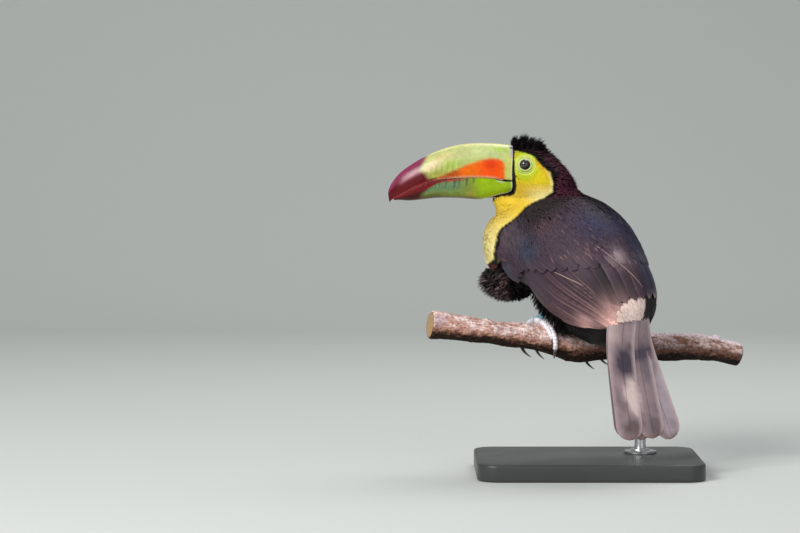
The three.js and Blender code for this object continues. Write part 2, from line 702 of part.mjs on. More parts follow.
// Each toe: how far along the branch it starts and ends, how far round it reaches, in degrees, and its size.
const TOES = [
  { start: 3, end: 17, reach: 118, size: 1 }, // fourth, near side
  { start: -1, end: 11.5, reach: 88, size: 0.86 }, // first, near side
  { start: -4, end: -10, reach: -136, size: 1 }, // third, far side
  { start: 3, end: 5, reach: -128, size: 0.88 }, // second, far side
];
const TOE_RINGS = 5;
const CLAW_LENGTH = 16;

function toe(share, { start, end, reach, size }) {
  const radius = TOE_RADIUS * size;
  const lift = radius + 0.4;
  const path = [];
  const steps = TOE_RINGS * 2;
  for (let i = 0; i <= steps; i++) {
    const w = i / steps;
    const s = share + lerp(start, end, w ** 0.8) / PERCH_LENGTH;
    path.push(overPerch(s, radians(reach) * w, lift));
  }
  const body = tube(path, (w, i) => radius * (1.02 - 0.28 * w) * (i % 2 ? 0.86 : 1.04), 6);
  const tip = path[steps];
  const ahead = tip.clone().sub(path[steps - 2]).normalize();
  const inward = PERCH_LINE.getPointAt(share + end / PERCH_LENGTH).sub(tip).normalize();
  const sideways = PERCH_LINE.getTangentAt(share);
  const claw = [];
  for (let i = 0; i <= 3; i++) {
    const w = i / 3;
    const out = CLAW_LENGTH * size * (w - 0.12) * (reach > 0 ? 1 : 1.3);
    const hook = (reach > 0 ? 5.5 : 2.5) * size * w * w;
    const p = tip.clone().addScaledVector(ahead, out).addScaledVector(inward, hook - 1.2 * w);
    claw.push(p.addScaledVector(sideways, reach > 0 ? 0 : 9 * size * w * w));
  }
  return solid(body).add(solid(tube(claw, (w) => radius * 0.62 * (1 - w) ** 0.7 + 0.3, 5)));
}

// The flat between a leg and its foot, on top of the branch.
function anklePlane(name) {
  const share = footShare(name);
  const at = overPerch(share, 0, ANKLE_HEIGHT);
  return { at, normal: at.clone().sub(PERCH_LINE.getPointAt(share)).normalize() };
}

function makeFoot(name) {
  const share = footShare(name);
  const pad = new THREE.SphereGeometry(TOE_RADIUS * 1.5, 8, 6);
  pad.scale(1.25, 1.25, 0.95);
  const at = overPerch(share, 0, TOE_RADIUS + 1);
  pad.translate(at.x, at.y, at.z);
  const foot = join([solid(pad), ...TOES.map((t) => toe(share, t))]);
  return largest(cut(foot.subtract(perchSolid(GAP)), anklePlane(name), -GAP / 2));
}

function makeLeg(name) {
  const sign = Math.sign(STANCE[name][1]);
  const plane = anklePlane(name);
  plane.at.applyMatrix4(toBird);
  plane.normal.transformDirection(toBird);
  const foot = plane.at.clone().addScaledVector(plane.normal, -3);
  const knee = vec(...HIP).multiply(vec(1, sign, 1));
  const ankle = foot.clone().lerp(knee, 0.4).add(vec(-3, 0, 2));
  const path = curve([foot, ankle, knee].map((p) => p.toArray())).getPoints(14);
  const girth = (w) => TARSUS_RADIUS + THIGH_SWELL * smooth(w, 0.3, 1) + 0.35 * Math.sin(w * 44) * (1 - w);
  return largest(cut(solid(tube(path, girth, 10)), plane, -GAP / 2, -1).subtract(torsoBlob(GAP)));
}

// ---------------------------------------------------------------- stand
function makeBase() {
  const [long, deep, high] = BASE_SIZE;
  const [x, y, r] = [long / 2, deep / 2, BASE_CORNER];
  const outline = new THREE.Shape();
  outline.moveTo(-x + r, -y);
  outline.lineTo(x - r, -y);
  outline.absarc(x - r, -y + r, r, -Math.PI / 2, 0);
  outline.lineTo(x, y - r);
  outline.absarc(x - r, y - r, r, 0, Math.PI / 2);
  outline.lineTo(-x + r, y);
  outline.absarc(-x + r, y - r, r, Math.PI / 2, Math.PI);
  outline.lineTo(-x, -y + r);
  outline.absarc(-x + r, -y + r, r, Math.PI, 1.5 * Math.PI);
  const bevel = 2.5;
  const plate = new THREE.ExtrudeGeometry(outline, {
    depth: high - 2 * bevel,
    bevelThickness: bevel,
    bevelSize: bevel,
    bevelOffset: -bevel,
    bevelSegments: 1,
    curveSegments: 4,
  });
  plate.translate(0, 0, bevel);
  return solid(plate);
}

function makeRod() {
  const share = (ROD_X + PERCH_LENGTH / 2) / PERCH_LENGTH;
  const top = PERCH_LINE.getPointAt(share);
  const foot = BASE_SIZE[2] + GAP;
  const profile = [
    [0, foot], [17, foot], [17, foot + 2.5], [10, foot + 4.5], [ROD_RADIUS, foot + 8],
    [ROD_RADIUS, top.z - 30], [9.5, top.z - 20], [11, top.z - 4], [0, top.z - 4],
  ];
  const rod = new THREE.LatheGeometry(profile.map(([r, z]) => new THREE.Vector2(r, z)), 16);
  rod.rotateX(Math.PI / 2);
  rod.translate(top.x, top.y, 0);
  return largest(solid(rod).subtract(perchSolid(GAP)));
}

// ---------------------------------------------------------------- materials
const finish = (color, roughness, metalness = 0) => new THREE.MeshStandardMaterial({ color, roughness, metalness });
const plumage = finish(0x1b1418, 0.75);
const yellow = finish(0xe2c32e, 0.8);
const billGreen = finish(0xa9c23f, 0.35);
const eyeDark = finish(0x1c1a12, 0.1);
const cream = finish(0xd8c0b8, 0.8);
const skinBlue = finish(0x6f8fa8, 0.6);
const toeSkin = finish(0xd8bcc2, 0.6);
const bark = finish(0x9a6f62, 0.95);
const painted = finish(0x33302d, 0.5);
const steel = finish(0xb9bcc0, 0.3, 1);

// ---------------------------------------------------------------- the model
const model = new THREE.Group();
const bird = new THREE.Group();
bird.position.set(...BIRD_PLACE);
bird.rotation.z = radians(BIRD_HEADING);
model.add(bird);

function add(group, name, made, material) {
  const mesh = new THREE.Mesh(geometryOf(made), material);
  mesh.name = name;
  group.add(mesh);
}

add(bird, "torso", makeTorso(), plumage);
add(bird, "neck", makeNeck(), yellow);
add(bird, "head", makeHead(), yellow);
add(bird, "upper_bill", makeUpperBill(), billGreen);
add(bird, "lower_bill", lowerMandible(0), billGreen);
add(bird, "eye_left", eyeBall(1, EYE_RADIUS), eyeDark);
add(bird, "eye_right", eyeBall(-1, EYE_RADIUS), eyeDark);

add(bird, "wing_left", makeWing(1), plumage);
add(bird, "wing_right", makeWing(-1), plumage);
add(bird, "tail", makeTail(), cream);

["left", "right"].forEach((name) => {
  add(bird, "leg_" + name, makeLeg(name), skinBlue);
  add(model, "foot_" + name, makeFoot(name), toeSkin);
});

add(model, "perch", perchSolid(0), bark);
add(model, "stand_base", makeBase(), painted);
add(model, "stand_rod", makeRod(), steel);

export default model;
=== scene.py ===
from math import cos, pi, radians, sin, tan
from types import SimpleNamespace

import bpy
import numpy as np
from bpy.props import FloatProperty, FloatVectorProperty, PointerProperty
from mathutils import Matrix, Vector
from mathutils.noise import fractal


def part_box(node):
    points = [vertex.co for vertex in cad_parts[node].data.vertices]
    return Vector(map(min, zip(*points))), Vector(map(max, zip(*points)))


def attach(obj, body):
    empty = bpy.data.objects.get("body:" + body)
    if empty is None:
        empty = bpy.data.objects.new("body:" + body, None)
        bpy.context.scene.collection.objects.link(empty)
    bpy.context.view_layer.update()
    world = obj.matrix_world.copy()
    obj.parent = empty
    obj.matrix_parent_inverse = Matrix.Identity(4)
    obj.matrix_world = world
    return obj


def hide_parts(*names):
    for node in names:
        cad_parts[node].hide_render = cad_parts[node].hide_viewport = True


bl_info = {
    "name": "Keel-billed toucan",
    "version": (1, 0, 0),
    "blender": (4, 5, 0),
    "location": "View3D > Sidebar > Toucan",
    "description": "Dresses the solids of a toucan on a branch with skin, feathers, horn, bark and a stand",
    "category": "Object",
}

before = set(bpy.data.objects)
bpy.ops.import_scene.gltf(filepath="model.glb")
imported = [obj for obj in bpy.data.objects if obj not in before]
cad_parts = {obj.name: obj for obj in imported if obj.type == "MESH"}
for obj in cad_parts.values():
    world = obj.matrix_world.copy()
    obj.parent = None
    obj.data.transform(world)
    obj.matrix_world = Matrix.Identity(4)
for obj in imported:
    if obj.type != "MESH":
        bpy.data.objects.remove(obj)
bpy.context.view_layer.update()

# ---------- the bird's place and its flesh
MM = 0.001
HEADING = 135.0  # degrees from +X towards +Y
PLACE = np.array([-19.0, 4.0, 150.0])
BLEND = 12.0  # how softly the lumps of flesh run together
SKIN_VOXEL = 0.0022  # metres
FACE_FOOT = 142  # the height at which the bib meets the face
WING_TOP = 146  # the height at which the folded wings end and the crown begins
UP = np.array([0.0, 0.0, 1.0])


def axes_of(yaw, pitch):
    """Forward, left and up of a piece turned by yaw and pitch degrees, as rows."""
    y, p = radians(yaw), radians(pitch)
    forward = np.array([cos(y) * cos(p), sin(y) * cos(p), sin(p)])
    left = np.array([-sin(y), cos(y), 0.0])
    return np.array([forward, left, np.cross(forward, left)])


TORSO_AT = np.array([-20.0, 0.0, 64.0])
TORSO_AXES = axes_of(0, 50)
TORSO_RADII = (92.0, 55.0, 58.0, 52.0)  # forward, sideways, dorsal, ventral
BILL_ROOT = np.array([58.0, 25.0, 169.0])
BILL_AXES = axes_of(45, 0)
EYE_BACK = 11.5  # behind the bill's root, and over it
EYE_RISE = 5.4
EYE_RADIUS = 6.4
EYE_SHOW = 3.1  # how far the eyeball stands out of the skin
BARE_SKIN = 11.3  # the radius round the eye where no feathers grow
LUMPS = [
    (TORSO_AT, TORSO_RADII, TORSO_AXES),
    ((-74, 0, 42), (34, 28, 25, 25), axes_of(0, 60)),  # rump
    ((44, 7, 92), (50, 50, 46, 46), axes_of(0, 50)),  # breast
    ((36, 7, 134), (42, 34, 45, 42), axes_of(0, 70)),  # neck
    ((33, 4, 152), (28, 24, 25, 25), axes_of(0, 55)),  # nape
    ((48, 15, 167.5), (33, 23, 27, 30), axes_of(45, 6)),  # skull
    ((60, 27, 140), (22, 17, 9, 16), axes_of(45, 20)),  # chin
    ((66, 24, 50), (27, 21, 18, 17), axes_of(34, 8)),  # under the bib
]


def unit(v):
    return v / (np.linalg.norm(v, axis=-1, keepdims=True) + 1e-12)


def lerp(a, b, s):
    return a + (b - a) * s


def smooth(x, a, b):
    """0 below a, 1 above b, and a soft step between."""
    s = np.clip((np.asarray(x, float) - a) / (b - a), 0, 1)
    return s * s * (3 - 2 * s)


def once_round(count):
    """Angles spaced evenly round a circle."""
    return np.linspace(0, 2 * pi, count, endpoint=False)


def peak(x, at, wide, y=0.0, y_at=0.0, tall=1.0):
    """A smooth hump, 1 at its middle, along one measure or two."""
    return np.exp(-(((x - at) / wide) ** 2) - ((y - y_at) / tall) ** 2)


def fill(colour, places):
    """One colour for each of the places."""
    return np.broadcast_to(np.array(colour), places.shape)


def paint(base, colour, share):
    """Colours with a share of another colour laid over them."""
    return lerp(base, np.array(colour), np.clip(share, 0, 1)[..., None])


def follow(x, points):
    """A line through (x, y) points, read at x."""
    return np.interp(x, [p[0] for p in points], [p[1] for p in points])


def lump_field(p, at, radii, axes):
    """Roughly the distance from points to one lump's surface, less than 0 inside."""
    q = (p - np.asarray(at, float)) @ axes.T
    high = np.where(q[..., 2] > 0, radii[2], radii[3])
    r = np.stack([np.full_like(high, radii[0]), np.full_like(high, radii[1]), high], -1)
    near = np.linalg.norm(q / r, axis=-1)
    return near * (near - 1) / (np.linalg.norm(q / r**2, axis=-1) + 1e-9)


def flesh(p):
    """Roughly the distance from points to the whole bird's flesh."""
    field = lump_field(p, *LUMPS[0])
    for lump in LUMPS[1:]:
        here = lump_field(p, *lump)
        h = np.clip(0.5 + 0.5 * (here - field) / BLEND, 0, 1)
        field = lerp(here, field, h) - BLEND * h * (1 - h)
    return field


def flesh_normal(p, step=0.5):
    slope = [flesh(p + step * axis) - flesh(p - step * axis) for axis in np.eye(3)]
    return unit(np.stack(slope, -1))


def settle(p, height, rounds=2):
    """Points moved along the flesh's normal to a height over it."""
    for _ in range(rounds):
        p = p + flesh_normal(p) * (height - flesh(p))[..., None]
    return p


def torso_place(p):
    """Places in the torso's own frame, each (forward, left, up)."""
    return (p - TORSO_AT) @ TORSO_AXES.T


def over_torso(t, side, lift):
    """A point t degrees back from the neck's pole, side degrees round from the back, + to the left."""
    t, side, lift = np.broadcast_arrays(*(np.asarray(x, float) for x in (t, side, lift)))
    a, b = np.radians(t), np.radians(side)
    long, wide, high, low = TORSO_RADII
    depth = np.where(np.cos(b) > 0, high, low)
    reach = [np.cos(a) * long, np.sin(a) * np.sin(b) * wide, np.sin(a) * np.cos(b) * depth]
    return settle(TORSO_AT + np.stack(reach, -1) @ TORSO_AXES, lift, rounds=6)


def bill_place(p):
    """Places in the bill's own frame, each (out, across, up)."""
    return (p - BILL_ROOT) @ BILL_AXES.T


def bill_point(out, across, up):
    """Points of the bill's own frame: out along it, across to the bird's left, and up."""
    out, across, up = np.broadcast_arrays(*(np.asarray(x, float) for x in (out, across, up)))
    return BILL_ROOT + np.stack([out, across, up], -1) @ BILL_AXES


def to_frame(p):
    """The bird's millimetres as metres of the frame."""
    c, s = cos(radians(HEADING)), sin(radians(HEADING))
    return (p @ np.array([[c, s, 0], [-s, c, 0], [0, 0, 1]]) + PLACE) * MM


# ---------- markings
# The bib: at each height, its middle's yaw and its half width, in degrees round the neck, under 0 for none.
BIB_HEIGHTS = [63, 70, 75, 91, 107, 117, 130, 140]
BIB_MIDDLE = [15, 15, 15, 15, 17, 22, 38, 45]
BIB_HALF = [-8, 44, 60, 65, 66, 74, 72, 92]
# The face patch in the bill's frame: at each height, how far back the yellow reaches.
FACE_UP = [-40, -31, -26, -23, -12.6, -2.6, 0.5, 7.4, 14.7, 18, 20, 22]
FACE_BACK = [-20, -27, -35, -39.6, -40.3, -37.4, -33, -26, -20.5, -11.5, -0.6, 8]
# The black line round the bill's base: how far out the coat starts by height, and how high by reach.
SIDE_UP = [-20, -8, -3, 3, 9]
SIDE_OUT = [-2.2, -2.0, -1.2, -0.5, -0.4]
CHIN_OUT = [-2.4, -1.8, 0, 2.6, 8, 14.7, 20, 32]
CHIN_UP = [-19, -23.5, -26, -27.3, -27.7, -28.4, -29.6, -32]
CROWN = (0.006, 0.004, 0.004)
NAPE = (0.085, 0.019, 0.038)
YELLOW = (0.86, 0.68, 0.012)
LIME = (0.52, 0.62, 0.02)
GOLD = (0.84, 0.48, 0.02)
DEEP_YELLOW = (0.81, 0.53, 0.035)
PALE_YELLOW = (0.98, 0.80, 0.30)
BAND_RED = (0.13, 0.02, 0.015)
BELLY = (0.010, 0.007, 0.008)
MANTLE = (0.014, 0.010, 0.013)
RUMP = (0.80, 0.60, 0.54)
VENT_RED = (0.50, 0.02, 0.012)


def wobble(p, size, seed=0.0):
    """A smooth pseudo-random value from -1 to 1 over space, for uneven edges and shades."""
    q = p / size
    a = np.sin(q[..., 0] * 1.7 + q[..., 1] * 2.3 + seed) * np.cos(q[..., 2] * 2.1 - q[..., 0] * 1.3)
    b = np.sin(q[..., 1] * 3.1 - q[..., 2] * 1.9 + 2 * seed) * np.cos(q[..., 0] * 2.7 + q[..., 2])
    return 0.6 * a + 0.4 * b


def yellow_share(p):
    """How far a place over the flesh belongs to the yellow face and bib, 0 to 1."""
    z = p[..., 2]
    yaw = np.degrees(np.arctan2(p[..., 1] - 7, p[..., 0] - 38))
    off = np.abs((yaw - np.interp(z, BIB_HEIGHTS, BIB_MIDDLE) + 180) % 360 - 180)
    bib = smooth(np.interp(z, BIB_HEIGHTS, BIB_HALF) + 1.5 * wobble(p, 3.0) - off, -2, 2)
    bib = bib * (1 - smooth(z, 139, 142))
    q = bill_place(p)
    back = np.interp(q[..., 2], FACE_UP, FACE_BACK)
    face = smooth(q[..., 0] - back + 0.5 * wobble(p, 2.5), -1, 1) * smooth(z, 138, 141)
    return np.maximum(bib, face)


def beyond_base(q):
    """How far places in the bill's frame lie past the edge of the coat, towards the black base line."""
    side = q[..., 0] - np.interp(q[..., 2], SIDE_UP, SIDE_OUT)
    return np.minimum(side, q[..., 2] - np.interp(q[..., 0], CHIN_OUT, CHIN_UP))


def plumage(p):
    """The colour of the skin and of the feathers at these places."""
    q = bill_place(p)
    d = torso_place(p)
    z, back, rise = p[..., 2], -q[..., 0], q[..., 2]

    out = paint(fill(BELLY, p), MANTLE, smooth(d[..., 2], -5, 25))
    out = paint(out, CROWN, smooth(z, 133, 141))
    behind = np.interp(rise, FACE_UP, FACE_BACK) + back
    low = smooth(-rise, 2, 14)
    past = behind + 1.5 * wobble(p, 5) * (1 - low) - lerp(5, 1.2, low)
    nape = smooth(z, 134, 149) * smooth(past / lerp(7, 3, low), 0, 1) * (0.85 + 0.2 * wobble(p, 9))
    nape = nape * lerp(0.5, 1, smooth(behind - 0.5 * rise, 6, 24))
    out = paint(out, NAPE, nape * (1 - 0.9 * smooth(rise, 12, 26) * smooth(-back, -44, -26)))
    eye = np.hypot(back - EYE_BACK, (rise - EYE_RISE) * 0.9)
    face = paint(fill(YELLOW, p), LIME, smooth(eye, 18, 10) + smooth(eye, 30, 16) * smooth(rise, 4, 12))
    face = paint(face, GOLD, 0.8 * smooth(behind, -9, -3) * smooth(rise, -12, -4) * smooth(-rise, -14, -8))
    face = paint(face, GOLD, 0.5 * smooth(rise, 9, 15) * smooth(-back, -9, -2))
    face = paint(face, DEEP_YELLOW, smooth(-rise, 11, 19))
    pale = smooth(-rise, 14, 26) * smooth(back, 4, 30)
    pale = pale + 0.8 * smooth(behind, -5, -1.5) * smooth(-rise, -2, 6)
    face = paint(face, PALE_YELLOW, 0.9 * pale)
    low_bib = paint(fill(DEEP_YELLOW, p), PALE_YELLOW, smooth(-z, -132, -88))
    yellow = yellow_share(p)
    out = paint(out, lerp(low_bib, face, smooth(z, 128, 142)[..., None]), yellow)
    band = smooth(z, 63, 66) * (1 - smooth(z, 68, 70)) * smooth(yellow_share(p + [0, 0, 9.0]), 0.3, 0.8)
    out = paint(out, BAND_RED, 0.55 * band * (1 - yellow))
    gape = peak(rise, -11.7, 0.5) * smooth(back, 3.8, 2.6)
    out = paint(out, CROWN, np.maximum(smooth(beyond_base(q), -0.4, 0.4), 0.8 * gape * (z > 140)))
    rump = smooth(-d[..., 0], 69, 72) * smooth(d[..., 2], 4, 11)
    rump = rump * (1 - smooth(np.abs(d[..., 1] - 18), 13.5, 17))
    out = paint(out, RUMP, rump)
    out = paint(out, VENT_RED, smooth(-d[..., 0], 74, 82) * (1 - smooth(d[..., 2], -32, -25)))
    return out


def lie(p, n):
    """Which way the coat lies at places with these normals: back from the bill, down the neck, tailwards."""
    q = bill_place(p)
    head = smooth(p[..., 2], 136, 156)[..., None]
    body = -TORSO_AXES[0] + 0.25 * UP * (1 - head)
    down = smooth(-q[..., 2], -2, 20)[..., None]
    face = -BILL_AXES[0] * (1 - 0.45 * down) - UP * (0.15 + 1.1 * down)
    way = lerp(body, face, head)
    return unit(way - (way * n).sum(-1, keepdims=True) * n)


# The folded wings: how far round from the back they reach, and how high their feathers lie, by angle.
WING_T = [30, 38, 42, 45, 48, 52, 61, 72, 82, 94, 112, 127, 144, 154]
WING_LIMIT = [40, 100, 122, 141, 147, 152, 156, 150, 143, 137, 123, 111, 84, 60]
WING_RISE = [0, 1.2, 2.4, 3.4, 4.4, 5.4, 6.8, 8.2, 8.6, 7.8, 6.5, 5.9, 5.4, 5.2]
COVERTS_SIDE = [0, 4, 10, 26, 52, 74, 96, 122, 146, 160]  # where the coverts end over the flight feathers
COVERTS_T = [123, 120, 111, 110, 101, 94, 83, 70, 61, 56]
BLADE_SIDE = [0, 7, 46, 62, 72, 87, 110]  # where the flight feathers end
BLADE_T = [134, 135, 139, 153, 150, 144, 127]


def torso_angles(p):
    """The t and side of over_torso for places near the torso."""
    d = torso_place(p)
    long, wide, high, low = TORSO_RADII
    x, y, z = d[..., 0] / long, d[..., 1] / wide, d[..., 2] / np.where(d[..., 2] > 0, high, low)
    return np.degrees(np.arctan2(np.hypot(y, z), x)), np.degrees(np.arctan2(y, z))


def wing_height(t, side):
    """How high the folded wings' feathers lie over the flesh."""
    side = np.abs(side)
    room = np.interp(t, WING_T, WING_LIMIT) - side
    edge = lerp(smooth(room, -1, 10), 0.55 + 0.45 * smooth(room, 0, 22), smooth(t, 62, 80))
    spine, low = smooth(side, 0, 26), smooth(t, 80, 100)
    spine = lerp(0.3, 1, spine) * (1 - low) + lerp(0.72, 1, spine) * low
    return np.interp(t, WING_T, WING_RISE) * edge * spine * (room > -1)


def over_wings(p):
    """The height of the folded wings over these places, 0 beside them."""
    return wing_height(*torso_angles(p)) * (p[..., 2] < WING_TOP)


def unwrap(p):
    """A place on the skin's own unwrap: round the spine, and along it from tail to face, both 0 to 1."""
    d = torso_place(p)
    s = np.clip((d[..., 0] + 110) / 290, 0.005, 0.985)
    spine = TORSO_AT + np.outer(np.clip(d[..., 0], -90, 150), TORSO_AXES[0]).reshape(p.shape)
    around = (p - spine) @ TORSO_AXES.T
    return np.stack([np.arctan2(around[..., 1], around[..., 2]) / (2 * pi) * 0.98 + 0.5, s], -1)


# ---------- meshes
def tint_mesh(mesh, tints):
    """A colour for each vertex of a mesh, for its material to read."""
    layer = mesh.color_attributes.new(name="tint", type="FLOAT_COLOR", domain="POINT")
    full = np.concatenate([tints, np.ones((len(tints), 1))], -1)
    layer.data.foreach_set("color", full.astype(np.float32).ravel())


def mesh_object(name, points, faces, material, tints, maps=None, normals=None):
    """A smooth mesh in the frame, from points in metres and triangles or quads, with its colours and UV maps.
    The normals, in the bird's axes, soften how the light falls on feathers."""
    corners = np.concatenate([np.asarray(f).reshape(-1) for f in faces]).astype(np.int32)
    sizes = np.concatenate([np.full(len(f), f.shape[1]) for f in map(np.asarray, faces)])
    mesh = bpy.data.meshes.new(name)
    mesh.vertices.add(len(points))
    mesh.vertices.foreach_set("co", np.asarray(points, np.float32).ravel())
    mesh.loops.add(len(corners))
    mesh.loops.foreach_set("vertex_index", corners)
    mesh.polygons.add(len(sizes))
    mesh.polygons.foreach_set("loop_start", np.concatenate([[0], np.cumsum(sizes)[:-1]]).astype(np.int32))
    mesh.polygons.foreach_set("use_smooth", np.ones(len(sizes), bool))
    tint_mesh(mesh, tints)
    for title, uv in (maps or {}).items():
        layer = mesh.uv_layers.new(name=title)
        layer.data.foreach_set("uv", np.asarray(uv, np.float32)[corners].ravel())
    mesh.update(calc_edges=True)
    mesh.validate()
    if normals is not None:
        turned = (to_frame(unit(normals)) - to_frame(np.zeros(3))) / MM
        mesh.normals_split_custom_set_from_vertices(turned.astype(np.float32))
    piece = bpy.data.objects.new(name, mesh)
    bpy.context.scene.collection.objects.link(piece)
    piece.data.materials.append(material)
    return piece


def finish_piece(piece, slot, *nodes):
    """The piece rides on the model's one body and stands for its solids, which it hides. The slot is not
    used.
    """
    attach(piece, "root")
    if nodes:
        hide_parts(*nodes)
    return piece


TUFT_PATCH = 0.003  # how much of the bake map one small feather takes


def tufts(name, centres, normals, half, tints, material, widths, ridge, curve=0.45):
    """Closed tapered vanes. centres, normals and tints are (count, rings + 1, 3), the last ring being the
    tip. ridge is how thick a vane is, and curve how far the light's normals turn across it."""
    count, rings = len(centres), centres.shape[1] - 1
    ahead = unit(np.gradient(centres, axis=1))
    across = unit(np.cross(ahead, normals))
    wide = (half[:, None] * np.array(widths))[..., None]
    body = centres[:, :rings]
    ring = np.stack(
        [
            body - across[:, :rings] * wide,
            body + normals[:, :rings] * (wide * ridge),
            body + across[:, :rings] * wide,
        ],
        2,
    )
    points = np.concatenate([ring.reshape(count, rings * 3, 3), centres[:, rings:]], 1)
    at = [(3 * k + i, 3 * k + (i + 1) % 3) for k in range(rings - 1) for i in range(3)]
    one = [[a, b, b + 3, a + 3] for a, b in at]
    last = 3 * rings - 3
    ends = [[0, 2, 1]] + [[last + i, last + (i + 1) % 3, 3 * rings] for i in range(3)]
    start = (np.arange(count) * (3 * rings + 1))[:, None, None]
    faces = [(np.array(f)[None] + start).reshape(-1, len(f[0])) for f in (one, ends)]
    shade = np.concatenate([np.repeat(tints[:, :rings], 3, 1), tints[:, rings:]], 1)
    patch = np.array([[0.5 * (i - 1), k / rings] for k in range(rings) for i in range(3)] + [[0, 1]])
    bake = (unwrap(centres[:, 0])[:, None] + TUFT_PATCH * patch).reshape(-1, 2)
    vane = np.broadcast_to(patch + [0.5, 0], (count,) + patch.shape).reshape(-1, 2)
    flat = to_frame(points.reshape(-1, 3))
    n, a = normals[:, :rings], across[:, :rings] * curve
    facing = np.stack([n - a, n, n + a], 2).reshape(count, rings * 3, 3)
    facing = np.concatenate([facing, normals[:, rings:]], 1)
    maps = {"OFBake": bake, "vane": vane}
    return mesh_object(name, flat, faces, material, shade.reshape(-1, 3), maps, facing.reshape(-1, 3))


def shells(name, tops, thickness, tints, material, share, facing=None):
    """Closed thin blades from (count, rows, columns, 3) grids, share being how far along each row is."""
    count, rows, columns = tops.shape[:3]
    du, dv = np.gradient(tops, axis=2), np.gradient(tops, axis=1)
    normal = unit(np.cross(dv, du))
    unders = tops - normal * thickness
    points = np.stack([tops, unders], 1).reshape(count, -1, 3)
    at = np.arange(rows * columns).reshape(rows, columns)
    quad = np.stack([at[:-1, :-1], at[1:, :-1], at[1:, 1:], at[:-1, 1:]], -1).reshape(-1, 4)
    under = quad[:, ::-1] + rows * columns
    edge = np.concatenate([at[0, :-1], at[:-1, -1], at[-1, :0:-1], at[:0:-1, 0]])
    follow = np.roll(edge, -1)
    wall = np.stack([edge, follow, follow + rows * columns, edge + rows * columns], -1)
    one = np.concatenate([quad, under, wall])
    faces = (one[None] + (np.arange(count) * 2 * rows * columns)[:, None, None]).reshape(-1, 4)
    both = lambda v: np.stack([v, v], 1).reshape(-1, v.shape[-1])
    grid = np.stack(np.meshgrid((ACROSS + 1) / 2, share), -1)
    vanes = np.broadcast_to(grid, tops.shape[:3] + (2,))
    side = int(np.ceil(np.sqrt(count)))
    cell = np.stack([np.arange(count) % side, np.arange(count) // side], -1)[:, None, None]
    bake = (cell + 0.04 + 0.92 * vanes) / side
    maps = {"OFBake": both(bake), "vane": both(vanes)}
    facing = normal if facing is None else facing * np.sign((normal * facing).sum(-1, keepdims=True))
    facing = np.stack([facing, -facing], 1).reshape(-1, 3)
    return mesh_object(name, to_frame(points.reshape(-1, 3)), [faces], material, both(tints), maps, facing)


# ---------- materials
FINE_RELIEF = 0.0003  # metres
WHITE = (1, 1, 1, 1)
class Nodes:
    """Adds nodes to one shader tree and joins them."""

    def __init__(self, tree):
        self.tree = tree
        self.link = tree.links.new

    def add(self, kind, **values):
        """A new node, its settings and unlinked sockets given by name."""
        node = self.tree.nodes.new(kind)
        for key, value in values.items():
            if hasattr(node, key):
                setattr(node, key, value)
            else:
                node.inputs[key.replace("_", " ")].default_value = value
        return node

    def place(self):
        """Places on the object, which patterns are taken at."""
        return self.add("ShaderNodeTexCoord").outputs["Object"]

    def texture(self, kind, place, result, **values):
        """One output of a noise or cell texture, at places."""
        node = self.add(kind, **values)
        self.link(place, node.inputs["Vector"])
        return node.outputs[result]

    def noise(self, place, **values):
        return self.texture("ShaderNodeTexNoise", place, "Fac", **values)

    def stretch(self, place, scale):
        """Places scaled along each axis."""
        node = self.add("ShaderNodeMapping", Scale=scale)
        self.link(place, node.inputs["Vector"])
        return node.outputs["Vector"]

    def maths(self, operation, a, b):
        """A maths node of two values, each a socket or a number."""
        node = self.add("ShaderNodeMath", operation=operation)
        for socket, value in zip(node.inputs, (a, b)):
            if isinstance(value, (int, float)):
                socket.default_value = value
            else:
                self.link(value, socket)
        return node.outputs[0]

    def spread(self, source, low, high, to_low, to_high):
        """A value's range mapped onto another, clamped at both ends."""
        node = self.add("ShaderNodeMapRange", From_Min=low, From_Max=high, To_Min=to_low, To_Max=to_high)
        self.link(source, node.inputs["Value"])
        return node.outputs["Result"]

    def multiply(self, colour, share, factor=1.0):
        """A colour times a value, through the Mix node's colour sockets."""
        node = self.add("ShaderNodeMix", data_type="RGBA", blend_type="MULTIPLY")
        node.inputs["Factor"].default_value = factor
        first, second, result = node.inputs[6], node.inputs[7], node.outputs[2]
        self.link(colour, first)
        self.link(share, second)
        return result

    def group(self, tree, given, **values):
        """A shared node group with its own values and what is linked into it."""
        node = self.add("ShaderNodeGroup")
        node.node_tree = tree
        for key, value in values.items():
            node.inputs[key].default_value = value
        for key, value in given.items():
            self.link(value, node.inputs[key])
        return node

    def mottled(self, scale, low, high):
        """The mesh's own tint made uneven: the colour, the noise itself and the place it is taken at."""
        place = self.place()
        tint = self.add("ShaderNodeVertexColor", layer_name="tint").outputs["Color"]
        given = {"Tint": tint, "Place": place}
        node = self.group(mottle_group(), given, Scale=scale, Low=low, High=high)
        return node.outputs["Colour"], node.outputs["Cloud"], place

    def relief(self, shader, height, strength, distance):
        """Bump on a shader's normal from a height."""
        node = self.add("ShaderNodeBump", Strength=strength, Distance=distance)
        self.link(height, node.inputs["Height"])
        self.link(node.outputs["Normal"], shader.inputs["Normal"])


def set_shader(shader, **values):
    for key, value in values.items():
        shader.inputs[key.replace("_", " ")].default_value = value


def new_material(name, **values):
    """A material, its Principled shader set to these values, and its nodes."""
    material = bpy.data.materials.new(name)
    material.use_nodes = True
    shader = material.node_tree.nodes["Principled BSDF"]
    set_shader(shader, **values)
    return material, shader, Nodes(material.node_tree)


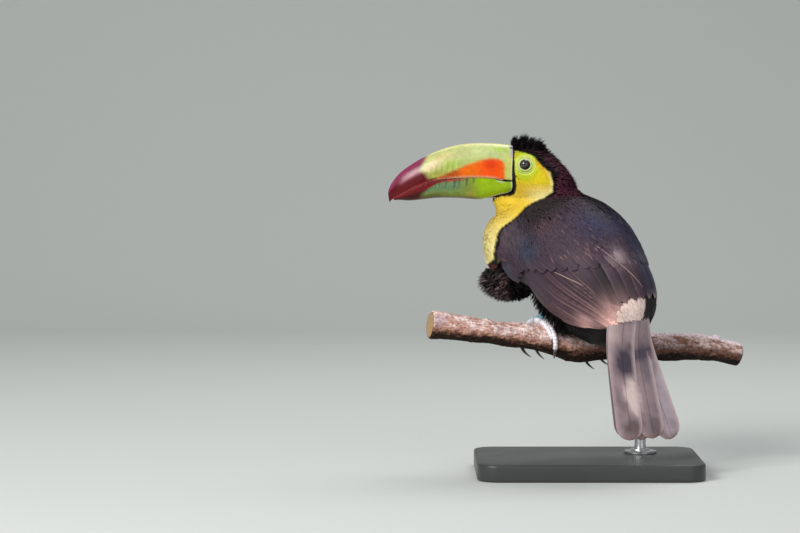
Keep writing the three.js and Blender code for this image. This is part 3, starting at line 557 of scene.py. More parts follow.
def group_of(name, inputs, outputs):
    """A shader node group with named sockets, its nodes, and its two ends."""
    tree = bpy.data.node_groups.new(name, "ShaderNodeTree")
    for title, kind, value in inputs:
        socket = tree.interface.new_socket(title, in_out="INPUT", socket_type="NodeSocket" + kind)
        if value is not None:
            socket.default_value = value
    for title, kind in outputs:
        tree.interface.new_socket(title, in_out="OUTPUT", socket_type="NodeSocket" + kind)
    nodes = Nodes(tree)
    return tree, nodes, nodes.add("NodeGroupInput").outputs, nodes.add("NodeGroupOutput").inputs


def barb_group():
    """Shared by all feathers: barbs that slant off a shaft, and slow patches over the bird."""
    if "feather_barbs" in bpy.data.node_groups:
        return bpy.data.node_groups["feather_barbs"]
    inputs = [
        ("Tint", "Color", None),
        ("Vane", "Vector", None),
        ("Place", "Vector", None),
        ("Streak", "Float", 0.25),
        ("Patches", "Float", 0.2),
        ("Shaft", "Float", 1.0),
    ]
    tree, nodes, given, out = group_of("feather_barbs", inputs, [("Colour", "Color"), ("Height", "Float")])
    maths, link = nodes.maths, nodes.link
    parts = nodes.add("ShaderNodeSeparateXYZ")
    link(given["Vane"], parts.inputs[0])
    across, along = parts.outputs[0], parts.outputs[1]
    off = maths("ABSOLUTE", maths("SUBTRACT", across, 0.5), 0)
    slant = maths("SUBTRACT", maths("MULTIPLY", along, 95.0), maths("MULTIPLY", off, 34.0))
    at = nodes.add("ShaderNodeCombineXYZ")
    link(slant, at.inputs[0])
    link(maths("MULTIPLY", across, 5.0), at.inputs[1])
    barbs = nodes.noise(at.outputs[0], Scale=1.0, Detail=3.0, Roughness=0.6)
    patches = nodes.noise(given["Place"], Scale=75.0, Detail=5.0, Roughness=0.6)
    fine = maths("MULTIPLY", maths("SUBTRACT", barbs, 0.5), given["Streak"])
    slow = maths("MULTIPLY", maths("SUBTRACT", patches, 0.5), given["Patches"])
    total = maths("ADD", maths("MULTIPLY", maths("ADD", fine, slow), 4.0), 1.0)
    shaft = nodes.spread(off, 0.012, 0.03, 1.0, 0.0)
    more = maths("MULTIPLY", shaft, maths("SUBTRACT", given["Shaft"], 1.0))
    total = maths("MULTIPLY", total, maths("ADD", more, 1.0))
    link(nodes.multiply(given["Tint"], maths("MAXIMUM", total, 0.15)), out["Colour"])
    link(maths("ADD", barbs, shaft), out["Height"])
    return tree


def mottle_group():
    """Shared by horn, skin, eyes, bark and wood: a tint made uneven by noise."""
    if "mottled_tint" in bpy.data.node_groups:
        return bpy.data.node_groups["mottled_tint"]
    inputs = [
        ("Tint", "Color", None),
        ("Place", "Vector", None),
        ("Scale", "Float", 100.0),
        ("Low", "Float", 0.8),
        ("High", "Float", 1.2),
    ]
    tree, nodes, given, out = group_of("mottled_tint", inputs, [("Colour", "Color"), ("Cloud", "Float")])
    maths = nodes.maths
    texture = nodes.add("ShaderNodeTexNoise", Detail=5.0, Roughness=0.6)
    nodes.link(given["Place"], texture.inputs["Vector"])
    nodes.link(given["Scale"], texture.inputs["Scale"])
    cloud = texture.outputs["Fac"]
    reach = maths("SUBTRACT", given["High"], given["Low"])
    share = maths("ADD", maths("MULTIPLY", nodes.spread(cloud, 0.3, 0.7, 0, 1), reach), given["Low"])
    nodes.link(nodes.multiply(given["Tint"], share), out["Colour"])
    nodes.link(cloud, out["Cloud"])
    return tree


def plumage_material(name, roughness, sheen, specular=0.35, glow=0.0, bump=0.25, sheen_tint=WHITE, **barbs):
    """Feathers of one kind, with the tint of each place and the shared barbs."""
    look = dict(Roughness=roughness, Sheen_Weight=sheen, Sheen_Roughness=0.35, Sheen_Tint=sheen_tint)
    material, shader, nodes = new_material(name, **look, Specular_IOR_Level=specular)
    if glow:
        set_shader(shader, Subsurface_Weight=glow, Subsurface_Scale=0.004)
    given = {
        "Tint": nodes.add("ShaderNodeVertexColor", layer_name="tint").outputs["Color"],
        "Vane": nodes.add("ShaderNodeUVMap", uv_map="vane").outputs["UV"],
        "Place": nodes.place(),
    }
    values = dict(streak=0.2, patches=0.15, shaft=1.0) | barbs
    group = nodes.group(barb_group(), given, **{key.capitalize(): value for key, value in values.items()})
    nodes.link(group.outputs["Colour"], shader.inputs["Base Color"])
    nodes.relief(shader, group.outputs["Height"], bump, FINE_RELIEF)
    return material


# ---------- sizes and colours to change
def power(name, description, watts):
    return FloatProperty(name=name, description=description, default=watts, min=0, unit="POWER")


def length(name, description, millimetres):
    return FloatProperty(name=name, description=description, default=millimetres * MM, min=0, unit="LENGTH")


def colour(name, description, value):
    look = dict(default=value, size=3, min=0, max=1, subtype="COLOR")
    return FloatVectorProperty(name=name, description=description, **look)


class ToucanCoat(bpy.types.PropertyGroup):
    """Lengths of the small feathers"""

    depth: length("Coat depth", "How far the skin lies under the coat's surface", 2.6)
    face: length("Face", "Length of the face's feathers", 3.2)
    bib: length("Bib", "Length of the bib's feathers", 5)
    nape: length("Nape", "Length of the feathers of crown and nape", 7)
    crest: length("Crest", "Length of the crest's plumes", 16)
    mantle: length("Mantle", "Length of the back's feathers", 8)
    coverts: length("Coverts", "Length of the wings' small feathers", 9)
    belly: length("Belly", "Length of the feathers underneath", 12)
    tuft: length("Tuft", "Length of the plumes under the bib", 12)


class ToucanWings(bpy.types.PropertyGroup):
    """Finish of the flight feathers"""

    thickness: length("Vane thickness", "Thickness of a flight feather", 0.25)
    brown: colour("Brown", "The wings' main colour", (0.049, 0.029, 0.043))
    slate: colour("Slate", "Patches on shoulder and back", (0.034, 0.034, 0.075))
    edge: colour("Edge", "Worn pale edges and shafts", (0.48, 0.26, 0.24))
    tail: colour("Tail", "Tail feathers", (0.28, 0.20, 0.215))


class ToucanBill(bpy.types.PropertyGroup):
    """Colours of the horn"""

    green: colour("Green", "Upper half", (0.46, 0.51, 0.19))
    lime: colour("Lime", "Base of the lower half", (0.26, 0.40, 0.001))
    teal: colour("Teal", "Middle of the lower half", (0.11, 0.20, 0.09))
    flame: colour("Flame", "Flash on the upper half", (0.80, 0.075, 0.001))
    tip: colour("Tip", "Crimson tip", (0.095, 0.0, 0.003))
    ridge: colour("Ridge", "Line along the top", (0.80, 0.74, 0.32))


# ---------- skin and coat
def to_bird(p):
    """Points of the frame, in metres, as the bird's millimetres."""
    c, s = cos(radians(HEADING)), sin(radians(HEADING))
    return (np.asarray(p) / MM - PLACE) @ np.array([[c, -s, 0], [s, c, 0], [0, 0, 1]])


def mesh_points(mesh):
    co = np.empty(len(mesh.vertices) * 3)
    mesh.vertices.foreach_get("co", co)
    return co.reshape(-1, 3)


def coverts_end(side):
    """The angle at which the small wing feathers give way to the flight feathers."""
    return np.interp(np.abs(side), COVERTS_SIDE, COVERTS_T)


def under_blades(p):
    """Whether the flight feathers hide these places."""
    t, side = torso_angles(p)
    room = np.interp(t, WING_T, WING_LIMIT) - np.abs(side)
    end = np.interp(np.abs(side), BLADE_SIDE, BLADE_T) - 3
    return (t > coverts_end(side) - 4) & (room > 7) & (t < end) & (p[:, 2] < WING_TOP)


WING_SPOTS_AND_SHEEN = [  # t, side, reach along and round, colour, strength
    (40, 58, 15, 62, (0.020, 0.015, 0.014), 0.95),
    (60, 70, 7, 10, (0.10, 0.055, 0.060), 0.5),
    (77, 19, 13, 23, "slate", 0.85),
    (66, 98, 11, 16, (0.040, 0.048, 0.078), 0.85),
    (53, 118, 7, 10, (0.095, 0.060, 0.074), 0.6),
    (47, 138, 8, 13, (0.090, 0.058, 0.072), 0.85),
    (54, 147, 7, 8, (0.046, 0.054, 0.088), 0.8),
    (64, 8, 9, 12, (0.014, 0.015, 0.026), 0.7),
    # pale tertials: partly their own faded colour, partly a painted sheen
    (105, 17, 8, 10, (0.28, 0.21, 0.23), 0.9),
    (94, 47, 8, 10, (0.13, 0.075, 0.085), 0.2),
    (119, 45, 9, 12, (0.010, 0.007, 0.010), 0.9),
    (126, 30, 7, 24, (0.022, 0.016, 0.020), 0.8),
    (124, 92, 18, 26, (0.066, 0.032, 0.042), 0.7),
    (149, 52, 14, 21, (0.98, 0.55, 0.49), 1.0),
    (137, 93, 8, 9, (0.98, 0.56, 0.52), 0.98),
]


def wing_shade(t, side, wings):
    """The colour of the folded wings' feathers by angle: brown, with slate, black and faded places, and a
    painted bluish reflection of the sky on the far wing.
    """
    out = np.broadcast_to(np.array(wings.brown), np.shape(t) + (3,))
    for at, round_at, along, around, tint, strength in WING_SPOTS_AND_SHEEN:
        near = peak(t, at, along, np.abs(side), round_at, around)
        tint = wings.slate if tint == "slate" else tint
        out = lerp(out, np.array(tint), (strength * near)[..., None])
    # painted reflection: the sky's bluish reflection on the far (right) wing's inner feathers, laid on as
    # slate
    far = smooth(-side, -4, 12) * smooth(t, 78, 96) * (1 - smooth(np.abs(side), 50, 90))
    return lerp(out, 0.9 * np.array(wings.slate), 0.8 * far[..., None])


def wing_way(p, n):
    """Which way the small feathers lie on the wings: tailwards, and round towards the back."""
    t, side = torso_angles(p)
    a, b = np.radians(t), np.radians(side)
    long, wide, high, low = TORSO_RADII
    deep = np.where(np.cos(b) > 0, high, low)
    back = [-np.sin(a) * long, np.cos(a) * np.sin(b) * wide, np.cos(a) * np.cos(b) * deep]
    turn = [0 * a, np.sin(a) * np.cos(b) * wide, -np.sin(a) * np.sin(b) * deep]
    slope = -np.sign(side) * (0.1 + 0.44 * np.abs(side) / 135)
    way = (np.stack(back, -1) + slope[..., None] * np.stack(turn, -1)) @ TORSO_AXES
    return unit(way - (way * n).sum(-1, keepdims=True) * n)


def scatter(spacing, seed, keep):
    """Places about one spacing apart over the skin, where keep allows."""
    skin = bpy.data.objects["body_skin"].data
    skin.calc_loop_triangles()
    corners = np.empty(len(skin.loop_triangles) * 3, np.int32)
    skin.loop_triangles.foreach_get("vertices", corners)
    a, b, c = np.moveaxis(to_bird(mesh_points(skin))[corners.reshape(-1, 3)], 1, 0)
    area = np.linalg.norm(np.cross(b - a, c - a), axis=1) / 2
    rng = np.random.default_rng(seed)
    count = int(3.5 * area.sum() / spacing**2)
    pick = rng.choice(len(area), count, p=area / area.sum())
    u, v = np.sqrt(rng.random((count, 1))), rng.random((count, 1))
    places = a[pick] * (1 - u) + b[pick] * u * (1 - v) + c[pick] * u * v
    _, first = np.unique(np.floor(places / spacing).astype(int), axis=0, return_index=True)
    places = places[np.sort(first)]
    return places[keep(places)]


def lay_coat(name, slot, places, size, half, material, seed, **look):
    """Small feathers rooted under the skin at these places, lying along the coat.
    rise is how far tips stand off, sink how deep roots lie, spread how far they stray sideways, in radians,
    vary how much their shade varies, tip and root the shade at the ends, ridge how thick they are."""
    set_to = dict(rise=0.4, sink=3.0, spread=0.25, widths=(0.6, 1.0, 0.85), tip=1.2, root=0.8, ridge=0.28)
    set_to.update(vary=0.2, curve=0.45, tints=None, ways=None)
    set_to.update(look)
    look = SimpleNamespace(**set_to)
    rng = np.random.default_rng(seed)
    count = len(places)
    normal = flesh_normal(places)
    way = lie(places, normal) if look.ways is None else look.ways
    turn = rng.normal(0, look.spread, (count, 1))
    way = way * np.cos(turn) + np.cross(normal, way) * np.sin(turn)
    long = (size / MM * rng.uniform(0.8, 1.2, count))[:, None, None]
    share = np.linspace(0, 1, len(look.widths) + 1)[None, :, None]
    centres = places[:, None] + way[:, None] * long * share
    top = look.rise * rng.uniform(0.3, 1.7, (count, 1))
    level = lerp(-look.sink, top, smooth(share[..., 0], -0.15, 0.75)) + over_wings(centres)
    centres = settle(centres, level)
    shade = rng.uniform(1 - look.vary, 1 + look.vary, (count, 1, 1)) * lerp(look.root, look.tip, share)
    tints = (plumage(centres) if look.tints is None else look.tints[:, None]) * shade
    wide = half * rng.uniform(0.75, 1.25, count)
    facing = flesh_normal(centres)
    shape = (look.widths, look.ridge, look.curve)
    finish_piece(tufts(name, centres, facing, wide, np.clip(tints, 0, 1), material, *shape), slot)


class TOUCAN_OT_skin(bpy.types.Operator):
    """Run the lumps of flesh together into one seamless skin under the coat"""

    bl_idname = "toucan.skin"
    bl_label = "Skin"

    def execute(self, context):
        bpy.ops.object.select_all(action="DESELECT")
        balls = []
        for at, radii, axes in LUMPS:
            bpy.ops.mesh.primitive_uv_sphere_add(segments=48, ring_count=32, radius=1)
            ball = context.object
            size = np.array([radii[0], radii[1], (radii[2] + radii[3]) / 2])
            shape = mesh_points(ball.data) * size
            ball.data.vertices.foreach_set("co", to_frame(shape @ axes + at).astype(np.float32).ravel())
            balls.append(ball)
        for ball in balls:
            ball.select_set(True)
        bpy.ops.object.join()
        skin = context.object
        skin.name = skin.data.name = "body_skin"
        skin.data.remesh_voxel_size = SKIN_VOXEL
        bpy.ops.object.voxel_remesh()
        points = to_bird(mesh_points(skin.data))
        for _ in range(2):
            q = bill_place(points)
            tucked = 4.5 * smooth(beyond_base(q), -5, 1)
            depth = context.scene.toucan_coat.depth / MM * lerp(1, 0.42, yellow_share(points))
            points = settle(points, -depth - tucked, rounds=4)
        skin.data.vertices.foreach_set("co", to_frame(points).astype(np.float32).ravel())
        tint_mesh(skin.data, plumage(points) * lerp(0.6, 0.85, yellow_share(points))[:, None])
        bpy.ops.object.shade_smooth()
        skin.data.materials.clear()
        skin.data.materials.append(plumage_material("skin_under_coat", 0.8, 0.0, specular=0.2))
        finish_piece(skin, "black_plumage", "torso", "neck", "head")
        return {"FINISHED"}


class TOUCAN_OT_head_coat(bpy.types.Operator):
    """Cover the face, bib, crown and nape with short feathers"""

    bl_idname = "toucan.head_coat"
    bl_label = "Head coat"

    def execute(self, context):
        size = context.scene.toucan_coat
        look = dict(streak=0.05, patches=0.05, bump=0.08, glow=0.08)
        yellow = plumage_material("yellow_feathers", 0.6, 0.05, specular=0.15, **look)
        dark = plumage_material("nape_feathers", 0.55, 0.01, 0.08, sheen_tint=(0.9, 0.4, 0.5, 1))
        eye = lambda p: np.hypot(bill_place(p)[:, 0] + EYE_BACK, bill_place(p)[:, 2] - EYE_RISE)
        bare = lambda p: (eye(p) < BARE_SKIN) & (np.abs(bill_place(p)[:, 1]) > 8)
        clear = lambda p: (beyond_base(bill_place(p)) < 0) & ~bare(p)
        yellow_at = lambda p: yellow_share(p) > 0.5
        face = scatter(1.25, 3, lambda p: (p[:, 2] > FACE_FOOT) & clear(p) & yellow_at(p))
        look = dict(rise=0.05, sink=2.9, spread=0.12, ridge=0.12, vary=0.045, tip=1.03, root=0.97, curve=0.15)
        lay_coat("coat_face", "yellow_plumage", face, size.face, 0.75, yellow, 4, **look)
        bib = scatter(1.22, 5, lambda p: (p[:, 2] <= FACE_FOOT) & yellow_at(p) & clear(p))
        look.update(rise=0.08, spread=0.12, widths=(0.9, 1.0, 0.8), ridge=0.08, sink=1.9)
        lay_coat("coat_bib", "yellow_plumage", bib, size.bib, 1.15, yellow, 6, **look)
        crown = scatter(1.7, 7, lambda p: (p[:, 2] > WING_TOP) & clear(p) & ~yellow_at(p))
        look = dict(tip=1.4, vary=0.4)
        lay_coat("coat_crown", "black_plumage", crown, size.nape * 0.8, 0.7, dark, 8, rise=0.5, **look)
        nape = scatter(2.0, 9, lambda p: (p[:, 2] <= WING_TOP) & (p[:, 2] > 136) & ~yellow_at(p) & clear(p))
        lay_coat("coat_nape", "black_plumage", nape, size.nape, 0.8, dark, 10, rise=0.6, tip=1.5, vary=0.4)
        return {"FINISHED"}


class TOUCAN_OT_body_coat(bpy.types.Operator):
    """Cover the back, the tops of the wings, breast, belly, rump and vent"""

    bl_idname = "toucan.body_coat"
    bl_label = "Body coat"

    def execute(self, context):
        size, wings = context.scene.toucan_coat, context.scene.toucan_wings
        black = plumage_material("body_feathers", 0.6, 0.005, 0.14, sheen_tint=(0.6, 0.6, 0.9, 1))
        small = plumage_material("covert_feathers", 0.55, 0.01, 0.18, streak=0.12, patches=0.12, shaft=1.1)
        soft = plumage_material("rump_feathers", 0.7, 0.15, 0.3, streak=0.08)
        ahead = lambda p: (p - TORSO_AT) @ TORSO_AXES[0]
        dark = lambda p: (p[:, 2] <= 140) & (yellow_share(p) <= 0.5) & ~under_blades(p) & (ahead(p) > -62)
        before = lambda p: torso_angles(p)[0] < coverts_end(torso_angles(p)[1]) - 2
        feathered = lambda p: (over_wings(p) > 0.3) & before(p)
        front = scatter(3.0, 13, lambda p: dark(p) & (over_wings(p) <= 0.3))
        lay_coat("coat_belly", "black_plumage", front, size.belly, 1.5, black, 14, rise=0.9, spread=0.3)
        high = scatter(1.85, 11, lambda p: dark(p) & feathered(p))
        t, side = torso_angles(high)
        rng = np.random.default_rng(12)
        bristly = smooth(66 - t + rng.normal(0, 5, len(t)), 0, 8) * (1 - smooth(np.abs(side), 88, 112))
        rows = bristly > 0.5
        tints = wing_shade(t, side, wings)
        near = peak(t, 95, 13, np.abs(side), 44, 30) + peak(t, 55, 8, np.abs(side), 138, 12)
        streaks = (rng.random(len(t)) < 0.006 + 0.10 * near) & (t > 50)
        ways = wing_way(high, flesh_normal(high))
        look = dict(widths=(0.6, 1.0, 0.8, 0.45), vary=0.22, root=0.9, tip=1.1)
        some = dict(tints=tints[rows], ways=ways[rows])
        some.update(rise=0.4, sink=1.1, spread=0.14, ridge=0.16)
        lay_coat("coat_mantle", "black_plumage", high[rows], size.mantle, 0.95, black, 12, **look, **some)
        some = dict(tints=tints[~rows], ways=ways[~rows])
        some.update(rise=0.25, sink=1.1, spread=0.09, ridge=0.1, curve=0.2)
        look.update(widths=(0.7, 1.0, 0.95, 0.6))
        lay_coat("coat_coverts", "wing_plumage", high[~rows], size.coverts, 1.5, small, 17, **look, **some)
        pale = lerp(tints, np.array(wings.edge), rng.uniform(0.05, 0.28, (len(t), 1)))
        some = dict(tints=pale[streaks], ways=ways[streaks])
        some.update(rise=0.45, sink=0.5, spread=0.12, ridge=0.2)
        long = size.coverts * 1.2
        lay_coat("coat_streaks", "wing_plumage", high[streaks], long, 0.8, small, 18, **look, **some)
        tail = lambda p: (p - TAIL_ROOT) @ TAIL_AXES.T
        draped = lambda p: (tail(p)[:, 0] > 2) & (np.abs(tail(p)[:, 1] - 1) < 24) & (tail(p)[:, 2] > -6)
        end = scatter(1.7, 15, lambda p: (ahead(p) <= -56) & (p[:, 2] <= 100) & ~under_blades(p) & ~draped(p))
        look = dict(rise=0.2, spread=0.08, widths=(0.8, 1.0, 0.9, 0.6), vary=0.06, tip=1.03, root=0.97)
        look.update(ridge=0.1, curve=0.2)
        lay_coat("coat_rump", "tail_plumage", end, size.belly * 0.7, 1.5, soft, 16, **look)
        return {"FINISHED"}


# ---------- crest and tuft
TUFT_DARK = (0.12, 0.085, 0.095)
TUFT_BROWN = (0.28, 0.17, 0.16)
ROOT_LEVEL = -2.4  # how high over the flesh the plumes' roots are
FARTHEST = 60.0
PLUME_WIDTHS = (0.9, 1.0, 0.75, 0.45)


def cast_out(start, way, level):
    """From points inside, the first places along directions where the flesh's field reaches a level."""
    gone = np.zeros(len(way))
    for _ in range(40):
        gone = np.minimum(FARTHEST, gone - (flesh(start + way * gone[:, None]) - level) * 0.85)
    return start + way * gone[:, None]


def plumes(name, roots, out, lean, long, half, bend, tints):
    """Free-standing plumes that leave their roots in one direction and bend to another."""
    share = np.linspace(0, 1, len(PLUME_WIDTHS) + 1)[None, :, None]
    long = long[:, None, None]
    centres = roots[:, None] + out[:, None] * long * share * (1 - bend * share)
    centres = centres + lean[:, None] * long * bend * share**2
    side = unit(np.cross(out, lean))
    turn = np.random.default_rng(len(roots)).uniform(-0.8, 0.8, (len(roots), 1))
    facing = unit(np.cross(side, out) * np.cos(turn) + side * np.sin(turn))
    normals = np.repeat(facing[:, None], len(PLUME_WIDTHS) + 1, 1)
    shade = np.clip(tints[:, None] * lerp(0.8, 1.35, share), 0, 1)
    hair = bpy.data.materials["plume_feathers"]
    finish_piece(tufts(name, centres, normals, half, shade, hair, PLUME_WIDTHS, 0.4), "black_plumage")


class TOUCAN_OT_plumes(bpy.types.Operator):
    """Raise the crest over the forehead and the ragged tuft under the bib"""

    bl_idname = "toucan.plumes"
    bl_label = "Crest and tuft"

    def execute(self, context):
        size = context.scene.toucan_coat
        plumage_material("plume_feathers", 0.5, 0.03, 0.3)
        rng = np.random.default_rng(21)
        head = lambda p: (p[:, 2] > 138) & (yellow_share(p) < 0.4) & (beyond_base(bill_place(p)) < -1)
        places = scatter(1.1, 22, lambda p: head(p) & (rng.random(len(p)) < 0.85))
        q, n = bill_place(places), flesh_normal(places)
        front = smooth(q[:, 0], -30, -8) * smooth(q[:, 2], 14, 23)
        lift = np.radians(lerp(29, 70, front) + rng.normal(0, 9, len(q)))[:, None]
        way = unit(lie(places, n) + rng.normal(0, 0.12, n.shape))
        out = unit(n * np.sin(lift) + way * np.cos(lift) + 0.3 * front[:, None] * UP)
        behind = np.interp(q[:, 2], FACE_UP, FACE_BACK) - q[:, 0]
        long = lerp(6.5, 0.8 * size.crest / MM, front)
        long = lerp(3, long, smooth(behind, 1, 9)) * (0.6 + rng.random(len(q)) ** 3) + 2.4
        tints = plumage(places + 2 * way) * rng.uniform(0.3, 2.1, (len(q), 1))
        half = rng.uniform(0.3, 0.55, len(q))
        plumes("nape_plumes", places - 0.4 * n, out, way, long, half, 0.2, tints)
        count, locks = 1500, 130
        lock = rng.integers(0, locks, count)
        middle = [22 * rng.random(locks) ** 1.25 - 0.5, np.clip(rng.normal(0, 5.5, locks), -11, 11)]
        middle = np.stack(middle, -1)[lock]
        off = rng.normal(0, 0.8, (count, 2))
        back, across = np.maximum(middle[:, 0] + off[:, 0], -0.1), middle[:, 1] + off[:, 1]
        long = size.crest / MM * rng.uniform(0.8, 1.15, locks)[lock] * rng.uniform(0.8, 1, count)
        long = long * lerp(1, 0.75, smooth(np.abs(across), 3, 11)) * lerp(1, 0.5, smooth(back, 9, 20))
        stray = rng.normal(0, 0.1, (locks, 3))[lock] * [0.5, 1, 1] + rng.normal(0, 0.03, (count, 3))
        up = np.stack([-0.02 - 0.046 * back, 0.03 * across, np.ones(count)], -1) + stray
        up[:, :2] += 0.8 * off * [1, -1] / long[:, None]
        out = unit(up @ BILL_AXES)
        roots = cast_out(bill_point(-back, across, 6.0), out, ROOT_LEVEL)
        way = unit((np.array([-1, 0, 0]) + rng.normal(0, 0.2, (locks, 3))[lock]) @ BILL_AXES)
        tints = np.array(CROWN) * rng.uniform(0.7, 2.0, (count, 1))
        bend = lerp(0.06, 0.24, smooth(back, 2, 12))[:, None, None]
        plumes("crest_plumes", roots, out, way, long, rng.uniform(0.45, 0.75, count), bend, tints)
        count = 2600
        fall, yaw = np.radians(rng.uniform(-25, 80, count)), np.radians(45 + rng.uniform(-75, 66, count))
        out = np.stack([np.cos(yaw) * np.cos(fall), np.sin(yaw) * np.cos(fall), -np.sin(fall)], -1)
        roots = cast_out(np.array([56.0, 20.0, 56.0]), out, ROOT_LEVEL)
        n = flesh_normal(roots)
        comb = unit(np.array([0.55, 0.5, -0.3]) + rng.normal(0, 0.12, (count, 3)))
        comb = unit(comb - np.minimum(0, (comb * n).sum(-1, keepdims=True)) * n)
        out = unit(comb + 0.25 * n)
        lean = unit(np.array([0.15, 0.25, -0.4]) + rng.normal(0, 0.25, (count, 3)))
        keep = ~under_blades(roots) & (yellow_share(roots + [0, 0, 5.0]) < 0.5)
        long = rng.uniform(0.55, 1.05, count) * size.tuft / MM
        brown = peak(roots @ [0.707, 0.707, 0], 60, 12, roots[:, 2], 50, 11)[:, None]
        tints = lerp(np.array(TUFT_DARK), np.array(TUFT_BROWN), brown)
        tints = tints * rng.uniform(0.35, 1.5, (count, 1))
        args = [a[keep] for a in (roots, out, lean, long, rng.uniform(0.28, 0.55, count))]
        plumes("tuft_plumes", *args, 0.32, tints[keep])
        flank = lambda t, side: (np.abs(side) > np.interp(t, WING_T, WING_LIMIT) - 3) & (t > 64) & (t < 116)
        low = lambda p: (p[:, 2] < 110) & (yellow_share(p + [0, 0, 6.0]) < 0.4)
        places = scatter(1.8, 26, lambda p: flank(*torso_angles(p)) & low(p))
        n = flesh_normal(places)
        way = lie(places, n)
        out = unit(n + 0.45 * way + rng.normal(0, 0.15, n.shape))
        long = rng.uniform(14, 20, len(n)) * lerp(0.4, 1, smooth(torso_angles(places)[0], 74, 88))
        tints = np.array(BELLY) * rng.uniform(0.5, 1.6, (len(n), 1))
        plumes("flank_plumes", places, out, way, long, rng.uniform(0.6, 1.0, len(n)), 0.15, tints)
        return {"FINISHED"}


# ---------- wings and tail
ROUND_END = (0.86, 0.5)  # where the tip starts to close, and how blunt it is
POINTED_END = (0.66, 0.85)
BROAD_END = (0.89, 0.45)
ROWS_ALONG = 18
ACROSS = np.array([-1, -0.93, -0.62, -0.3, -0.05, 0.05, 0.3, 0.62, 0.93, 1])
FAR_TIPS = (0.66, 0.46, 0.44)  # the pale ends of the right wing's feathers
SHAFT_TINT = (0.29, 0.20, 0.185)
# Rows of feathers: how many, half width, end, root and tip of the first and of the last as angles (t, side),
# how far they bow outwards, and how worn their edges are, over 1 for bare shafts.
WING_ROWS = [
    (10, 4.6, POINTED_END, ((58, 150), (144, 87)), ((70, 114), (150, 72)), (9, 5), 0.9),
    (11, 5.4, ROUND_END, ((72, 110), (154, 56)), ((82, 62), (142, 36)), (4, 1), 0.65),
    (5, 7.4, ROUND_END, ((84, 56), (137, 47)), ((82, 12), (138, 5)), (1, 0), 0.2),
    (15, 5.0, ROUND_END, ((42, 150), (60, 143)), ((90, 22), (112, 12)), (2, 1), 0.25),
    (2, 0.3, POINTED_END, ((90, 38), (131, 5)), ((95, 79), (113, 65)), (0, 0), 9),
]
COVERT_ROW = 3


def outline(share, end, root=0.4):
    """A feather's half width along it, from a narrow root to a closed tip."""
    start, blunt = end
    close = np.clip((share - start) / (1 - start), 0, 1)
    return lerp(root, 1, smooth(share, -0.05, 0.45)) * np.maximum(1 - close**2, 0.004) ** blunt


def blade_tints(t, side, share, worn, wings, rng):
    """Colour over each blade: the wing's own by place, pale along the outer edge and tip, dark within."""
    count = len(t)
    w = ACROSS[None, None, :, None]
    share = share[None, :, None, None]
    base = wing_shade(t, side, wings)[:, :, None] * rng.uniform(0.75, 1.2, (count, 1, 1, 1))
    base = base * lerp(1.0, 0.72, smooth(w, 0.1, -0.9))
    late = smooth(t, 95, 135)[:, :, None, None]
    edge = smooth(w, 0.8, 1.0) * lerp(0.5, 1, late) * smooth(share, 0.05, 0.5)
    edge = edge * rng.uniform(0.45, 1.0, (count, 1, 1, 1))
    fringe = smooth(share, 0.94, 1.0) * smooth(t, 128, 140)[:, :, None, None]
    far = smooth(share, 0.93, 0.97) * (side < -4)[:, :, None, None] * rng.uniform(0.2, 1, (count, 1, 1, 1))
    base = lerp(base, np.array(FAR_TIPS), 0.85 * far * smooth(t, 120, 128)[:, :, None, None])
    if worn > 1:
        return np.broadcast_to(np.array(SHAFT_TINT), base.shape[:2] + (ACROSS.size, 3))
    return lerp(base, np.array(wings.edge), np.clip(worn * (edge + 0.8 * fringe), 0, 0.85))


def make_wing(hand, wings, material):
    """One folded wing's long feathers, with the tier of coverts that meets the small feathers."""
    rng = np.random.default_rng(31 + hand)
    share = np.linspace(0, 1, ROWS_ALONG)
    tops, tints, facing = [], [], []
    for number, row in enumerate(WING_ROWS[: 5 if hand > 0 else 4]):
        count, wide, end, first, last, bow, worn = row
        s = np.linspace(0, 1, count)[:, None]
        root, tip = (lerp(np.array(a, float), np.array(b, float), s) for a, b in zip(first, last))
        if number == COVERT_ROW:
            tip[:, 0] = coverts_end(tip[:, 1]) + 3
            root[:, 0] = tip[:, 0] - 22
        root, tip = root + rng.normal(0, 0.5, root.shape), tip + rng.normal(0, 0.7, tip.shape)
        t, side = np.moveaxis(root[:, None] + (tip - root)[:, None] * share[None, :, None], -1, 0)
        side = side + lerp(*bow, s) * np.sin(pi * share)[None]
        cover = wing_height(t, side)
        sunk = (2.6, 2.6, 2.6, 1.8, 0.6)[number] * (1 - smooth(share, 0, 0.75))[None]
        under = (0.5, 0.5, 0.25, -0.1, -0.5)[number]
        high = cover - sunk - under + (0.5 if hand > 0 else 0.0) * (1 - smooth(side, 6, 16))
        shaft = over_torso(t, hand * side, high)
        ahead = unit(np.gradient(shaft, axis=1))
        out = flesh_normal(shaft)
        outward = hand * np.cross(ahead, out)
        half = wide * rng.uniform(0.94, 1.06, (count, 1, 1)) * outline(share, end)[None, :, None]
        ripple = np.sin(40 * share[None, :, None] + 6 * rng.random((count, 1, 1)))
        across = ACROSS * half * (1 + 0.03 * ripple)
        level = high[..., None] + 0.07 * across + 0.3 * (1 - ACROSS**2) * half / wide
        points = settle(shaft[:, :, None] + outward[:, :, None] * across[..., None], level)
        turned = flesh_normal(points) + 0.22 * outward[:, :, None] * ACROSS[:, None]
        tops.append(points)
        facing.append(unit(turned))
        tints.append(blade_tints(t, hand * side, share, worn, wings, rng))
    tops, tints, facing = (np.concatenate(a) for a in (tops, tints, facing))
    if hand < 0:
        tops, tints, facing = tops[:, :, ::-1], tints[:, :, ::-1], facing[:, :, ::-1]
    side = "left" if hand > 0 else "right"
    piece = shells("wing_feathers_" + side, tops, wings.thickness / MM, tints, material, share, facing)
    finish_piece(piece, "wing_plumage", "wing_" + side)


